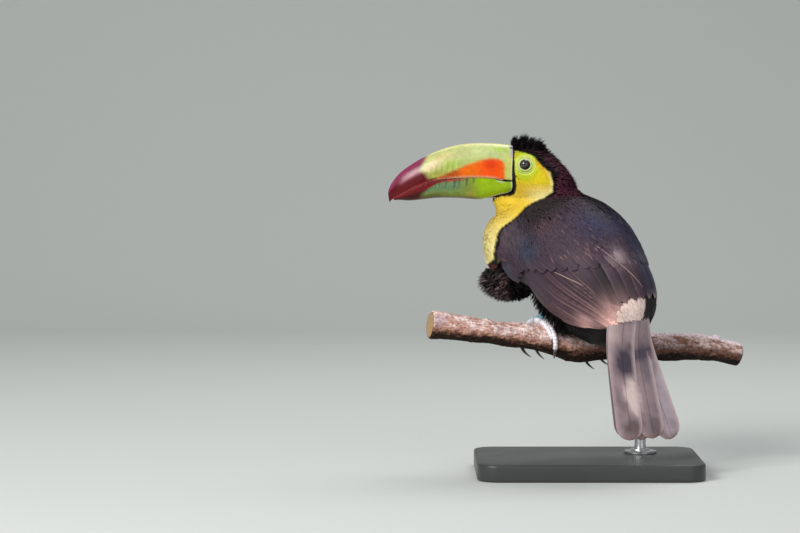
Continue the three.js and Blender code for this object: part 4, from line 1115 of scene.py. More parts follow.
class TOUCAN_OT_wings(bpy.types.Operator):
    """Fold both wings' long feathers over the torso, one by one"""

    bl_idname = "toucan.wings"
    bl_label = "Wings"

    def execute(self, context):
        look = dict(streak=0.16, patches=0.12, shaft=1.25, bump=0.3)
        material = plumage_material("flight_feathers", 0.55, 0.02, 0.22, **look)
        for hand in (1, -1):
            make_wing(hand, context.scene.toucan_wings, material)
        return {"FINISHED"}


TAIL_ROOT = np.array([-80.0, 5.0, 24.0])
TAIL_REACH = np.array([-29.0, -10.0, -139.0])
TAIL_DOWN = unit(TAIL_REACH)
TAIL_SIDE = np.array([sin(radians(15)), cos(radians(15)), 0])
TAIL_LEFT = unit(TAIL_SIDE - TAIL_DOWN * (TAIL_SIDE @ TAIL_DOWN))
TAIL_AXES = np.array([TAIL_DOWN, TAIL_LEFT, -np.cross(TAIL_DOWN, TAIL_LEFT)])
TAIL_EDGE = (0.58, 0.44, 0.44)
TAIL_END = (0.20, 0.115, 0.105)
TAIL_LEVEL = 0.95  # from one layer of tail feathers to the next
TAIL_CLEAR = 2.6  # how high over the flesh the tail feathers are draped
TAIL_SHARE = 1 - (1 - np.linspace(0, 1, 26)) ** 1.4  # rows along a tail feather, closer together at its end
# Each feather's place across at its root and end, its half width, its level and how much shorter it is.
TAIL_FEATHERS = [
    (11.8, 24, 16.3, 1, 0.08),
    (-5.5, -5, 15.5, 0, 0.06),
    (-5, -28, 15, -1, 0.03),
    (16, 26, 13, -1, 0.09),
    (1, 8, 13.5, -2, 0.065),
    (-6, -23, 13, -2, 0.055),
    (15, 23, 13, -3, 0.10),
    (-3, -8, 13, -3, 0.075),
    (-7, -26, 12.5, -3, 0.075),
    (13, 27, 12.5, -4, 0.11),
]
# Dappled light painted over the tail: dark patches of painted leaf shadow and, at 88 down, a pink pool of
# painted sunlight, among the feathers' own paler and darker places.
TAIL_SPOTS_AND_DAPPLED_LIGHT = [  # down and left over the tail, reach each way, colour, strength
    (110, -29, 62, 9, (0.46, 0.37, 0.43), 0.75),
    (51, 13, 19, 15, (0.046, 0.036, 0.058), 0.93),
    (46, -12, 11, 13, (0.050, 0.040, 0.062), 0.9),
    (64, -13, 14, 9, (0.13, 0.105, 0.135), 0.65),
    (20, 23, 12, 6, (0.46, 0.37, 0.34), 0.6),
    (88, 12, 21, 10, (0.80, 0.62, 0.60), 0.9),
    (84, 30, 8, 5, (0.15, 0.11, 0.13), 0.65),
    (95, 25, 6, 6, (0.16, 0.11, 0.12), 0.6),
    (118, 18, 9, 14, (0.12, 0.085, 0.085), 0.8),
    (122, -9, 12, 9, (0.13, 0.095, 0.115), 0.8),
    (103, -15, 5, 5, (0.18, 0.14, 0.17), 0.6),
    (124, -32, 6, 6, (0.26, 0.20, 0.21), 0.5),
]


def tail_vanes(root, tip, half, end, camber=0.9, narrow=0.8):
    """Feathers of the tail from their roots and tips in its own axes, (count, 3) each."""
    share = TAIL_SHARE
    shaft = root[:, None] + (tip - root)[:, None] * share[None, :, None]
    across = np.cross(unit(tip - root), [0, 0, 1.0])[:, None, None] * -1
    wide = ACROSS[None, None] * (half[:, None] * outline(share, end, narrow))[..., None]
    rise = camber * (1 - ACROSS**2)[None, None] * smooth(share, 0, 0.2)[None, :, None]
    points = shaft[:, :, None] + across * wide[..., None] + np.array([0, 0, 1.0]) * rise[..., None]
    return TAIL_ROOT + points @ TAIL_AXES


class TOUCAN_OT_tail(bpy.types.Operator):
    """Fan the tail's feathers, draped over the rump, with red coverts under their roots"""

    bl_idname = "toucan.tail"
    bl_label = "Tail"

    def execute(self, context):
        wings = context.scene.toucan_wings
        rng = np.random.default_rng(41)
        long = np.linalg.norm(TAIL_REACH)
        rows = np.array(TAIL_FEATHERS, float)
        level = rows[:, 3] * TAIL_LEVEL
        roots = np.stack([0 * level, rows[:, 0], level], -1)
        tips = np.stack([long * (1 - rows[:, 4]), rows[:, 1], level], -1)
        count = len(rows)
        tops = tail_vanes(roots, tips, rows[:, 2], BROAD_END)
        share = TAIL_SHARE[None, :, None, None]
        w = ACROSS[None, None, :, None]
        down, left = np.moveaxis((tops - TAIL_ROOT) @ TAIL_AXES.T, -1, 0)[:2]
        inside = flesh(tops) < TAIL_CLEAR
        lifted = cast_out(tops[inside], np.broadcast_to(TAIL_AXES[2], tops[inside].shape), TAIL_CLEAR)
        gain = np.zeros(inside.shape)
        lower = np.broadcast_to(level[:, None, None], inside.shape)[inside]
        gain[inside] = (lifted - tops[inside]) @ TAIL_AXES[2] + 0.35 * lower
        for again in range(14):
            eased = gain.copy()
            eased[:, 1:-1] = (gain[:, :-2] + 2 * gain[:, 1:-1] + gain[:, 2:]) / 4
            gain = np.maximum(gain, eased) if again < 9 else eased
        tops = tops + gain[..., None] * TAIL_AXES[2]
        base = np.array(wings.tail) * rng.uniform(0.94, 1.06, (count, 1, 1, 1))
        tints = base * lerp(1.15, 0.95, share)
        tints = tints * (1 + 0.16 * wobble(tops, 14.0, 2.0)[..., None])
        # painted dappled sunlight and leaf shadow, with the feathers' own spots
        for at, side, along, around, tint, strength in TAIL_SPOTS_AND_DAPPLED_LIGHT:
            reach = np.hypot((down - at) / along, (left - side) / around) + 0.25 * wobble(tops, 6.0, 5.0)
            near = smooth(1.25 - reach, 0, 0.7)
            tints = paint(tints, tint, strength * near)
        strong = np.where(np.arange(count) < 3, 0.85, 0.3)[:, None, None]
        pale = strong * (smooth(-w, 0.84, 0.96) + 0.5 * smooth(w, 0.84, 0.96))[..., 0]
        tints = paint(tints, TAIL_EDGE, pale)
        tints = paint(tints, TAIL_END, 0.7 * smooth(share, 0.94, 1.0)[..., 0])
        look = dict(streak=0.10, patches=0.10, shaft=0.7, bump=0.3)
        material = plumage_material("tail_vanes", 0.55, 0.04, 0.25, **look)
        piece = shells("tail_feathers", tops, 0.4, tints, material, TAIL_SHARE)
        finish_piece(piece, "tail_plumage", "tail")
        roots, tips, halves = [], [], []
        for row in range(3):
            for i in range(11 - row):
                w = 2 * i / (10 - row) - 1
                roots.append([-24 - 4 * row, w * 13, -4.2 - 1.1 * row])
                far = 56 - 12 * row - 7 * w * w + rng.normal(0, 1.5)
                tips.append([far, w * 15, -3.6 - 1.3 * row - 0.3 * (i % 2)])
                halves.append(3.6)
        tops = tail_vanes(np.array(roots), np.array(tips), np.array(halves), ROUND_END, 0.8, 0.4)
        base = np.array(VENT_RED) * rng.uniform(0.9, 1.1, (len(halves), 1, 1, 1))
        tints = np.broadcast_to(base * lerp(0.85, 1.05, share), tops.shape)
        soft = plumage_material("tail_coverts_feathers", 0.7, 0.15, 0.3, streak=0.1)
        piece = shells("tail_coverts", tops, 0.3, tints, soft, TAIL_SHARE)
        finish_piece(piece, "tail_plumage")
        return {"FINISHED"}


# ---------- bill
BILL_LENGTH = 131
BILL_HALF = 18.5  # half its width at the root
BILL_STATIONS = 240
BILL_SIDES = 56
# Side outlines in millimetres out from the bill's root and up from its axis.
CULMEN = [
    (-4, 23.5), (1.5, 24.6), (32, 27), (57, 25.3), (81, 18.6),
    (104, 7.2), (122, -6.2), (131.8, -22), (131.3, -34),
]
TOMIUM = [
    (-4, -11.5), (1.5, -11.2), (32, -8.6), (57, -8.9), (81, -11.5),
    (104, -19.5), (119, -27.4), (128, -31.8), (130.6, -34.4),
]
GONYS = [
    (0, -25.6), (9, -28.1), (19, -29.4), (36, -31.6), (57, -30.4),
    (81, -30.2), (98, -32), (110, -33), (121, -32.4), (126, -32.6),
]
LOWER_TOMIUM = [
    (-4, -12.6), (8, -12.1), (18, -10.4), (32, -8.8), (57, -9.1),
    (81, -11.6), (104, -19.4), (119, -27.2), (126.5, -31.2),
]
FLAME_TOP = [
    (7, 2), (10, 7), (14, 10), (18, 11.4), (26, 11.5), (33, 10.2),
    (48, 5.6), (63, -1.0), (78, -7.0), (92, -12.4), (104, -19),
]
# The dark ticks under the lower half's edge: how far out, half width, share of the height that they reach.
LOWER_MARKS = [
    (42, 0.9, 0.3), (49, 1.3, 0.5), (57, 1.1, 0.42), (62, 1.5, 0.62),
    (71, 1.2, 0.55), (78, 0.7, 0.5), (81.5, 0.7, 0.55), (85, 0.6, 0.4),
]
# Where the black base line ends: how far out by height, and under the lower half how high by reach.
BASE_LINE_UP = [-24.5, -22.4, -18, -12, -5, 2, 10, 18, 25]
BASE_LINE_OUT = [5, 2.6, 1.6, 1.9, 2.2, 1.9, 1.3, 0.9, 0.8]
UNDER_LINE_OUT = [2.8, 6.5, 11, 16, 20, 26, 34]
UNDER_LINE_UP = [-22.4, -24.5, -25.4, -26.4, -27.8, -30, -33]

HORN_OLIVE = (0.42, 0.50, 0.10)  # upper half, low down
HORN_ROOT = (0.52, 0.50, 0.10)
FLAME_ORANGE = (0.74, 0.13, 0.001)
FLAME_DARK = (0.36, 0.055, 0.001)
FLAME_FADED = (0.34, 0.15, 0.012)
FLAME_RED = (0.52, 0.018, 0.001)
FLAME_ROOT = (0.74, 0.11, 0.001)
STRIPE_OLIVE = (0.16, 0.19, 0.05)
TIP_PURPLE = (0.26, 0.035, 0.10)
# painted highlight: a pale rosy streak of gloss over the crimson tip
TIP_ROSE_HIGHLIGHT = (0.52, 0.20, 0.27)
RIM_PALE = (0.74, 0.44, 0.26)  # the cutting edge, near the root
RIM_RED = (0.46, 0.07, 0.06)
LOWER_OLIVE = (0.19, 0.25, 0.03)
LOWER_CLOUD = (0.24, 0.36, 0.16)
LOWER_TAN = (0.44, 0.30, 0.06)
LOWER_RED = (0.36, 0.03, 0.012)
TICK_DARK = (0.035, 0.065, 0.045)
KEEL_BROWN = (0.17, 0.085, 0.015)
KEEL_DARK = (0.10, 0.085, 0.02)
TIP_CRIMSON = (0.14, 0.002, 0.004)
TIP_BLACK = (0.055, 0.002, 0.004)
GAPE_PALE = (0.70, 0.72, 0.42)
# painted shadow in the slit between the halves at the gape
GAPE_SHADOW = (0.012, 0.008, 0.004)
LINE_HALO = (0.62, 0.60, 0.42)  # beside the black base line
LINE_LILAC = (0.42, 0.37, 0.46)
LINE_BLACK = (0.008, 0.005, 0.005)
# painted shade inside each nostril's pit
NOSTRIL = (0.03, 0.02, 0.02)
NOSTRIL_AT = np.array([2.2, 9.0, 22.5])
NOSTRIL_REACH = [2.2, 2.6, 1.4]
NOSTRIL_DEPTH = 1.6
# Places on the upper half: out, share of its height, reach each way, colour, strength; the one at 86 out is a
# painted highlight.
UPPER_SPOTS_AND_HIGHLIGHT = [
    (34, 0.80, 14, 0.14, (0.56, 0.60, 0.28), 0.7),
    (14, 0.88, 9, 0.07, (0.36, 0.54, 0.07), 0.75),
    (22, 0.72, 9, 0.06, (0.44, 0.50, 0.24), 0.6),
    (55, 0.72, 8, 0.16, (0.46, 0.44, 0.22), 0.6),
    (52, 0.52, 7, 0.10, (0.36, 0.44, 0.14), 0.6),
    (75, 0.78, 13, 0.14, (0.58, 0.48, 0.20), 0.85),
    (67, 0.44, 9, 0.15, (0.34, 0.46, 0.06), 0.85),
    (82, 0.25, 10, 0.14, (0.30, 0.29, 0.04), 0.9),
    # painted highlight: a broad pinkish-cream gloss on the horn
    (86, 0.56, 9, 0.13, (0.78, 0.56, 0.34), 0.9),
]


def spline(points, shares):
    """Centripetal Catmull-Rom curve through points, at shares of its number of spans."""
    p = np.asarray(points, float)
    p = np.concatenate([2 * p[:1] - p[1:2], p, 2 * p[-1:] - p[-2:-1]])
    at = np.asarray(shares, float) * (len(p) - 3)
    k = np.clip(at.astype(int), 0, len(p) - 4)
    w = (at - k)[:, None]
    p0, p1, p2, p3 = p[k], p[k + 1], p[k + 2], p[k + 3]
    spans = ((p0, p1), (p1, p2), (p2, p3))
    d0, d1, d2 = (np.sqrt(np.linalg.norm(b - a, axis=1))[:, None] for a, b in spans)
    m1 = ((p1 - p0) / d0 - (p2 - p0) / (d0 + d1) + (p2 - p1) / d1) * d1
    m2 = ((p2 - p1) / d1 - (p3 - p1) / (d1 + d2) + (p3 - p2) / d2) * d1
    c = -3 * p1 + 3 * p2 - 2 * m1 - m2
    d = 2 * p1 - 2 * p2 + m1 + m2
    return p1 + m1 * w + c * w**2 + d * w**3


def rings_object(name, rings, material, tints):
    """A closed body through (count, sides, 3) rings of points in millimetres, in the frame, ends closed."""
    count, sides = rings.shape[:2]
    at = np.arange(count * sides).reshape(count, sides)
    a, b = at[:-1], at[1:]
    quads = np.stack([a, np.roll(a, -1, 1), np.roll(b, -1, 1), b], -1).reshape(-1, 4)
    ends = [rings[0].mean(0), rings[-1].mean(0)]
    first, last = count * sides, count * sides + 1
    caps = np.concatenate(
        [
            np.stack([np.full(sides, first), np.roll(at[0], -1), at[0]], -1),
            np.stack([np.full(sides, last), at[-1], np.roll(at[-1], -1)], -1),
        ]
    )
    points = np.concatenate([rings.reshape(-1, 3), ends])
    spine = rings.mean(1)
    outward = np.cross(rings[:-1, 1] - rings[:-1, 0], rings[1:, 0] - rings[:-1, 0])
    if ((rings[:-1, 0] - spine[:-1]) * outward).sum() < 0:
        quads, caps = quads[:, ::-1], caps[:, ::-1]
    tints = np.concatenate([tints.reshape(-1, 3), tints[0].mean(0)[None], tints[-1].mean(0)[None]])
    return mesh_object(name, points * MM, [quads, caps], material, tints)


def mandible(ridge, edge, keel, inset):
    """Rings of one half of the bill as (out, across, up) between its ridge and its cutting edge."""
    shares = np.linspace(0, 1, BILL_STATIONS)
    top, foot = spline(ridge, shares), spline(edge, shares)
    middle = (top[:, 0] + foot[:, 0]) / 2
    s = np.clip(middle / BILL_LENGTH, 0, 1)
    half = BILL_HALF * (1 - 0.16 * s) * np.sqrt(np.maximum(0.02, 1 - s**3.2)) - inset
    a = np.linspace(0, pi, BILL_SIDES)[None]
    rise = top - foot
    high = np.sin(a) ** 0.85 + keel * peak(a, pi / 2, 0.16) * (1 - 0.7 * s[:, None])
    place = foot[:, None] + rise[:, None] * high[..., None]
    across = np.sign(np.cos(a)) * np.abs(np.cos(a)) ** 0.72 * half[:, None]
    serrate = 0.28 * np.sin(middle * 1.35) * smooth(middle, 22, 40) * (1 - smooth(middle, 96, 112))
    edge_part = peak(np.minimum(a, pi - a), 0, 0.12)
    return np.stack([place[..., 0], across, place[..., 1] + serrate[:, None] * edge_part], -1)


def horn_colours(rings, upper, bill):
    """The horn's colours by place in the bill's frame, with painted highlights on the upper half and a
    painted shadow along the slit at the gape.
    """
    out, up = rings[..., 0], rings[..., 2]
    rough = wobble(rings, 4.0) * 0.6 + 0.4 * wobble(rings, 1.6, 3.0)
    mouth = follow(out, TOMIUM[:8])
    if upper:
        top = follow(out, CULMEN[:8])
        high = np.clip((up - mouth) / (top - mouth + 1e-6), 0, 1)
        shade = fill(bill.green, rings)
        shade = paint(shade, HORN_OLIVE, 0.55 * smooth(high, 0.75, 0.3) + 0.15 * rough)
        # the horn's own patches, and one painted highlight
        for at, rise, along, around, tint, strength in UPPER_SPOTS_AND_HIGHLIGHT:
            near = peak(out, at, along, high, rise, around)
            shade = paint(shade, tint, strength * near * (1 + 0.35 * rough))
        shade = paint(shade, HORN_ROOT, 0.75 * smooth(out, 12, 3) * (1 - smooth(high, 0.6, 0.95)))
        flame_top = follow(out, FLAME_TOP)
        flame = smooth(flame_top - up + 0.6 * rough, -2.2, 1.8) * smooth(out, 7.0, 12.0 + 0.5 * rough)
        glow = paint(fill(FLAME_ORANGE, rings), bill.flame, smooth(out, 44, 28))
        glow = paint(glow, FLAME_DARK, smooth(out, 50, 66))
        glow = paint(glow, FLAME_FADED, smooth(out, 70, 88))
        glow = paint(glow, FLAME_RED, 0.6 * peak(out, 24, 7, high, 0.42, 0.16) * (1 + rough))
        glow = paint(glow, FLAME_ROOT, 0.6 * smooth(out, 17, 12))
        shade = paint(shade, glow, flame * (1 - 0.6 * smooth(out, 72, 98)))
        stripes = smooth(np.sin(out * 1.1 + 0.18 * up + 1.2 * rough), 0.55, 0.95)
        stripes = stripes * smooth(out, 50, 62) * (1 - smooth(out, 84, 94))
        across_stripes = 0.5 * stripes * smooth(high, 0.1, 0.3) * (1 - smooth(high, 0.45, 0.65))
        shade = paint(shade, STRIPE_OLIVE, across_stripes)
        start = np.interp(high, [0, 0.05, 0.16, 0.4, 0.6, 0.8, 1], [58, 76, 88, 92, 98, 95, 91])
        tip = smooth(out - start + 1.5 * rough, -3.5, 4.5)
        crimson = paint(fill(bill.tip, rings), TIP_PURPLE, 0.85 * smooth(high, 0.6, 0.9))
        # painted highlight: a pale rosy streak along the crimson tip
        streak = peak(high, 0.6, 0.1) * (1 - smooth(out, 112, 124))
        shade = paint(shade, paint(crimson, TIP_ROSE_HIGHLIGHT, 0.7 * streak), tip)
        shade = paint(shade, bill.ridge, 0.8 * smooth(high, 0.965, 0.995) * (1 - smooth(out, 80, 96)))
        seam = smooth(up - mouth, 1.3, 0.5) * smooth(out, 12, 22) * smooth(-out, -130, -124)
        rim = fill(RIM_PALE, rings)
        rim = paint(rim, RIM_RED, smooth(out, 48, 92))
        shade = paint(shade, rim, 0.85 * seam)
    else:
        low = follow(out, GONYS)
        deep = np.clip((mouth - up) / (mouth - low + 1e-6), 0, 1)
        shade = fill(bill.lime, rings)
        shade = paint(shade, LOWER_OLIVE, smooth(out, 34, 48))
        shade = paint(shade, bill.teal, smooth(out, 46, 62) * smooth(deep, 0.95, 0.3))
        cloudy = smooth(out, 50, 66) * smooth(rough, 0.0, 0.7) * smooth(deep, 0.95, 0.4)
        shade = paint(shade, LOWER_CLOUD, 0.5 * cloudy)
        shade = paint(shade, LOWER_TAN, 0.4 * peak(out, 45, 6, deep, 0.75, 0.15))
        shade = paint(shade, LOWER_RED, smooth(deep, 0.2, 0.06) * smooth(out, 44, 62))
        for centre, wide, reach in LOWER_MARKS:
            narrow = wide * (1.15 - 0.8 * deep / reach).clip(0.2)
            mark = peak(out - centre - 2.2 * deep + 0.25 * rough, 0, narrow)
            mark = mark * (1 - smooth(deep, reach * 0.7, reach))
            shade = paint(shade, TICK_DARK, 0.85 * mark)
        shade = paint(shade, KEEL_BROWN, 0.8 * smooth(deep, 0.8, 0.98) * smooth(out, 28, 42))
        shade = paint(shade, KEEL_DARK, 0.8 * smooth(deep, 0.5, 0.9) * smooth(out, 66, 84))
        start = np.interp(deep, [0, 0.1, 0.3, 0.6, 1], [66, 76, 88, 96, 98])
        tip = smooth(out - start + 1.2 * rough, -4, 4.5)
        crimson = paint(fill(TIP_CRIMSON, rings), TIP_BLACK, smooth(deep, 0.15, 0.6))
        shade = paint(shade, crimson, tip)
        gape = 1 - smooth(out, 14, 20)
        shade = paint(shade, GAPE_PALE, 0.8 * gape * peak(deep, 0.13, 0.03))
        # painted shadow: the top strip of the lower half near the root is darkened, so the slit between the
        # halves looks shaded
        shade = paint(shade, GAPE_SHADOW, gape * smooth(deep, 0.11, 0.08))
    line = np.interp(up, BASE_LINE_UP, BASE_LINE_OUT)
    below = np.where((up < -20) & (out < 60), np.interp(out, UNDER_LINE_OUT, UNDER_LINE_UP) - up, -9)
    past = np.maximum(line - out, below)
    shade = paint(shade, LINE_HALO, 0.85 * smooth(past, -1.3, -0.6))
    shade = paint(shade, LINE_LILAC, smooth(out, line + 2.9, line + 2.1) * smooth(up, 11, 14))
    shade = paint(shade, LINE_BLACK, smooth(past, -0.35, 0.35))
    return shade * (1 + 0.07 * rough[..., None])


def horn_material(name):
    """Glossy horn with its own colours, fine growth lines and a clear coat."""
    look = dict(Coat_Weight=0.12, Coat_Roughness=0.12, Subsurface_Weight=0.06, Subsurface_Scale=0.002)
    material, shader, nodes = new_material(name, **look, Specular_IOR_Level=0.2)
    colour, _, place = nodes.mottled(220.0, 0.84, 1.12)
    nodes.link(colour, shader.inputs["Base Color"])
    grain = nodes.noise(nodes.stretch(place, (45, 700, 700)), Scale=1.0, Detail=4.0, Roughness=0.6)
    nodes.link(nodes.spread(grain, 0.3, 0.75, 0.23, 0.44), shader.inputs["Roughness"])
    nodes.relief(shader, grain, 0.12, FINE_RELIEF)
    return material


class TOUCAN_OT_bill(bpy.types.Operator):
    """Shape and paint both halves of the bill, with its keel, nostrils and black base line"""

    bl_idname = "toucan.bill"
    bl_label = "Bill"

    def execute(self, context):
        bill = context.scene.toucan_bill
        horn = horn_material("bill_horn")
        for half, ridge, edge, keel, inset in (
            ("upper", CULMEN, TOMIUM, 0.028, 0.0),
            ("lower", GONYS, LOWER_TOMIUM, 0.0, 0.35),
        ):
            upper = half == "upper"
            rings = mandible(ridge, edge, keel, inset)
            tints = horn_colours(rings, upper, bill)
            if upper:
                for side in (-1, 1):
                    off = (rings - NOSTRIL_AT * [1, side, 1]) / NOSTRIL_REACH
                    pit = np.exp(-((off**2).sum(-1)) * 1.6)
                    rings[..., 1] -= side * NOSTRIL_DEPTH * pit
                    # painted shade: the nostril's pit is darkened
                    tints = paint(tints, NOSTRIL, 1.3 * pit)
            points = to_frame(bill_point(rings[..., 0], rings[..., 1], rings[..., 2])) / MM
            piece = rings_object("bill_" + half, points, horn, np.clip(tints, 0, 1))
            finish_piece(piece, "bill_horn", half + "_bill")
        return {"FINISHED"}


# ---------- eyes
IRIS = (0.028, 0.022, 0.011)
IRIS_STREAK = (0.085, 0.07, 0.035)
PUPIL = (0.002, 0.002, 0.002)
BALL_RIM = (0.01, 0.008, 0.005)
LID_EDGE = (0.015, 0.02, 0.01)
FOLD_SHADE = (0.10, 0.16, 0.03)
POUCH_SHADE = (0.07, 0.10, 0.02)
SKIN_LIME = (0.50, 0.58, 0.09)
LID_GREEN = (0.50, 0.58, 0.20)
LID_INNER = 4.8  # the radius at which the lid's skin starts over the ball
# How high the bare skin's folds stand over the face, by the distance from the eye's middle.
LID_FOLDS = [
    (4.8, 0.9), (5.4, 2.5), (5.9, 2.8), (6.8, 2.4), (7.5, 1.2), (7.9, 0.8),
    (8.4, 1.2), (8.9, 0.8), (9.5, 0.5), (10.3, 0.2), (11.5, -1.6),
]


def eye_frame(side):
    """The ball's middle and the outward way of one eye."""
    outward = BILL_AXES[1] * side
    skin = cast_out(bill_point(-EYE_BACK, 0, EYE_RISE), outward[None], 0.0)[0]
    return skin + outward * (EYE_SHOW - EYE_RADIUS), outward


def eye_material():
    """The wet surface of the eyeballs."""
    look = dict(Roughness=0.05, Coat_Weight=1.0, Coat_Roughness=0.02, Specular_IOR_Level=0.6)
    material, shader, nodes = new_material("eye_surface", **look)
    nodes.link(nodes.mottled(1800.0, 0.7, 1.3)[0], shader.inputs["Base Color"])
    return material


class TOUCAN_OT_eyes(bpy.types.Operator):
    """Set both eyes in rings of bare wrinkled skin"""

    bl_idname = "toucan.eyes"
    bl_label = "Eyes"

    def execute(self, context):
        ball_finish = eye_material()
        bare = skin_material("bare_face_skin", 0.5, 900.0, 0.05)
        for name, side in (("left", 1), ("right", -1)):
            middle, outward = eye_frame(side)
            forward, up = BILL_AXES[0], BILL_AXES[2]
            angle = np.linspace(0.02, pi * 0.62, 60)[:, None]
            turn = once_round(64)[None]
            degrees = np.degrees(angle)
            bulge = EYE_RADIUS + 0.35 * np.exp(-((degrees / 34) ** 4))
            rings = (
                middle
                + outward * (np.cos(angle) * bulge)[..., None]
                + forward * (np.sin(angle) * bulge * np.cos(turn))[..., None]
                + up * (np.sin(angle) * bulge * np.sin(turn))[..., None]
            )
            tint = fill(IRIS, rings)
            streak = 0.5 + 0.5 * np.sin(turn * 37 + np.sin(turn * 11) * 2)
            tint = paint(tint, IRIS_STREAK, 0.5 * streak * smooth(degrees, 28, 38))
            tint = paint(tint, PUPIL, smooth(degrees, 30, 26))
            tint = paint(tint, BALL_RIM, smooth(degrees, 44, 50))
            ball = rings_object("eyeball_" + name, to_frame(rings) / MM, ball_finish, tint)
            finish_piece(ball, "eye_ball", "eye_" + name)
            # Bare skin from under the lid outwards, in the plane of the face.
            reach = np.minimum(13.8, 10.7 / np.maximum(np.cos(turn), 0.2))
            radius = LID_INNER + (reach - LID_INNER) * np.linspace(0, 1, 70)[:, None]
            at = np.where(radius < 8.6, radius, 8.6 + (radius - 8.6) * 2.9 / (reach - 8.6))
            fold = follow(at, LID_FOLDS)
            below = smooth(-np.sin(turn), 0.1, 0.9)
            fold = fold + 0.5 * below * peak(radius, 9.0, 0.5) - 0.4 * below * peak(radius, 8.0, 0.35)
            fold = fold + 0.05 * np.sin(9 * turn + 3 * radius) * smooth(radius, 7.5, 9)
            fold = fold + 0.04 * np.sin(34 * turn + 2 * np.sin(5 * radius))
            flat = forward * np.cos(turn)[..., None] + up * 0.96 * np.sin(turn)[..., None]
            flat = flat * radius[..., None]
            start = (bill_point(-EYE_BACK, 0, EYE_RISE) + flat).reshape(-1, 3)
            base = cast_out(start, np.repeat(outward[None], len(start), 0), 0.0).reshape(flat.shape)
            top = base + outward * (fold - 0.6)[..., None]
            tint = fill(SKIN_LIME, top) * (1 + 0.12 * wobble(top, 1.2)[..., None])
            tint = lerp(tint, plumage(base), smooth(radius, 9.5, 12.5)[..., None])
            tint = paint(tint, LID_GREEN, smooth(radius, 7.85, 7.5))
            tint = paint(tint, FOLD_SHADE, (0.3 + 0.6 * below) * peak(radius, 7.9, 0.3))
            tint = paint(tint, POUCH_SHADE, 0.75 * below * peak(radius, 9.7, 0.35))
            tint = paint(tint, LID_EDGE, smooth(radius, 5.75, 5.5))
            under = top[::-1] - outward * 2.2
            rings = np.concatenate([top, under])
            both = np.concatenate([tint, tint[::-1]])
            lid = torus_object("lid_skin_" + name, to_frame(rings) / MM, bare, both)
            finish_piece(lid, "yellow_plumage")
        return {"FINISHED"}


def torus_object(name, rings, material, tints):
    """A closed ring-shaped body: rings of points that follow one another round and meet again."""
    count, sides = rings.shape[:2]
    at = np.arange(count * sides).reshape(count, sides)
    b = np.roll(at, -1, 0)
    quads = np.stack([at, np.roll(at, -1, 1), np.roll(b, -1, 1), b], -1).reshape(-1, 4)
    p = rings.reshape(-1, 3)
    centre = rings.mean((0, 1))
    first, second, third = p[quads[:, 0]], p[quads[:, 1]], p[quads[:, 2]]
    volume = (np.cross(second - first, third - first) * (first - centre)).sum()
    if volume < 0:
        quads = quads[:, ::-1]
    return mesh_object(name, p * MM, [quads], material, tints.reshape(-1, 3))


def skin_material(name, roughness, scale, coat):
    """Bare skin or scaly skin: its own tint with fine pebbled relief."""
    look = dict(Roughness=roughness, Coat_Weight=coat, Coat_Roughness=0.3, Specular_IOR_Level=0.45)
    material, shader, nodes = new_material(name, **look, Subsurface_Weight=0.15, Subsurface_Scale=0.0015)
    colour, _, place = nodes.mottled(scale * 0.35, 0.8, 1.2)
    nodes.link(colour, shader.inputs["Base Color"])
    pebbles = nodes.texture("ShaderNodeTexVoronoi", place, "Distance", Scale=scale)
    nodes.relief(shader, pebbles, 0.15, 0.0004)
    return material


# ---------- branch, legs and feet
PERCH_SPINE = [
    (-166, 159), (-113, 151.5), (-50, 142.5), (-14, 134.5),
    (12, 132.6), (75, 131.4), (118, 129.5), (165, 121),
]
PERCH_LENGTH = 330.0
PERCH_RADIUS = 15
PERCH_TURN = tan(radians(15))
PERCH_TABLE = [(x, PLACE[1] + (x - PLACE[0]) * PERCH_TURN, z) for x, z in PERCH_SPINE]
PERCH_TABLE = spline(PERCH_TABLE, np.linspace(0, 1, 1401))
PERCH_ARC = np.concatenate([[0], np.cumsum(np.linalg.norm(np.diff(PERCH_TABLE, axis=0), axis=1))])
PERCH_ARC = PERCH_ARC / PERCH_ARC[-1]


def perch_middle(s):
    """The branch's middle and its way on, in the frame's millimetres, at a share of its length."""
    place = lambda x: np.stack([np.interp(x, PERCH_ARC, PERCH_TABLE[:, i]) for i in range(3)], -1)
    s = np.asarray(s)
    ahead = place(np.minimum(s + 0.004, 1)) - place(np.maximum(s - 0.004, 0))
    return place(s), unit(ahead)


def perch_radius(s, angle):
    """The branch's radius at a share of its length and an angle from its top."""
    swell = 1 - 0.22 * smooth(s, 0, 0.25) * (1 - smooth(s, 0.1, 0.4)) - 0.16 * smooth(s, 0.75, 1)
    lump = 1.6 * peak(s, 0.46, 0.05) * (1 - np.cos(angle))
    lump = lump + 0.9 * peak(s, 0.80, 0.07) * (1 - np.cos(angle)) / 2
    rough = 0.5 * np.sin(23 * s + 3 * angle) + 0.35 * np.sin(51 * s - 2 * angle + 1)
    return PERCH_RADIUS * swell * 0.97 + lump + rough


def over_perch(s, angle, lift):
    """A place over the bark: the angle runs from the top towards -Y, its near side."""
    s, angle, lift = np.broadcast_arrays(*(np.asarray(x, float) for x in (s, angle, lift)))
    middle, ahead = perch_middle(s)
    near = unit(np.cross(ahead, [0, 0, 1.0]))
    up = np.cross(near, ahead)
    radius = (perch_radius(s, angle) + lift)[..., None]
    return middle + up * np.cos(angle)[..., None] * radius + near * np.sin(angle)[..., None] * radius


def noises(points, scale, detail, seed):
    """Smooth noise from about -1 to 1 at each point."""
    places = (points / scale + seed).reshape(-1, 3)
    flat = [fractal(Vector(p), 0.7, 2.1, detail) for p in places]
    return np.array(flat).reshape(points.shape[:-1])


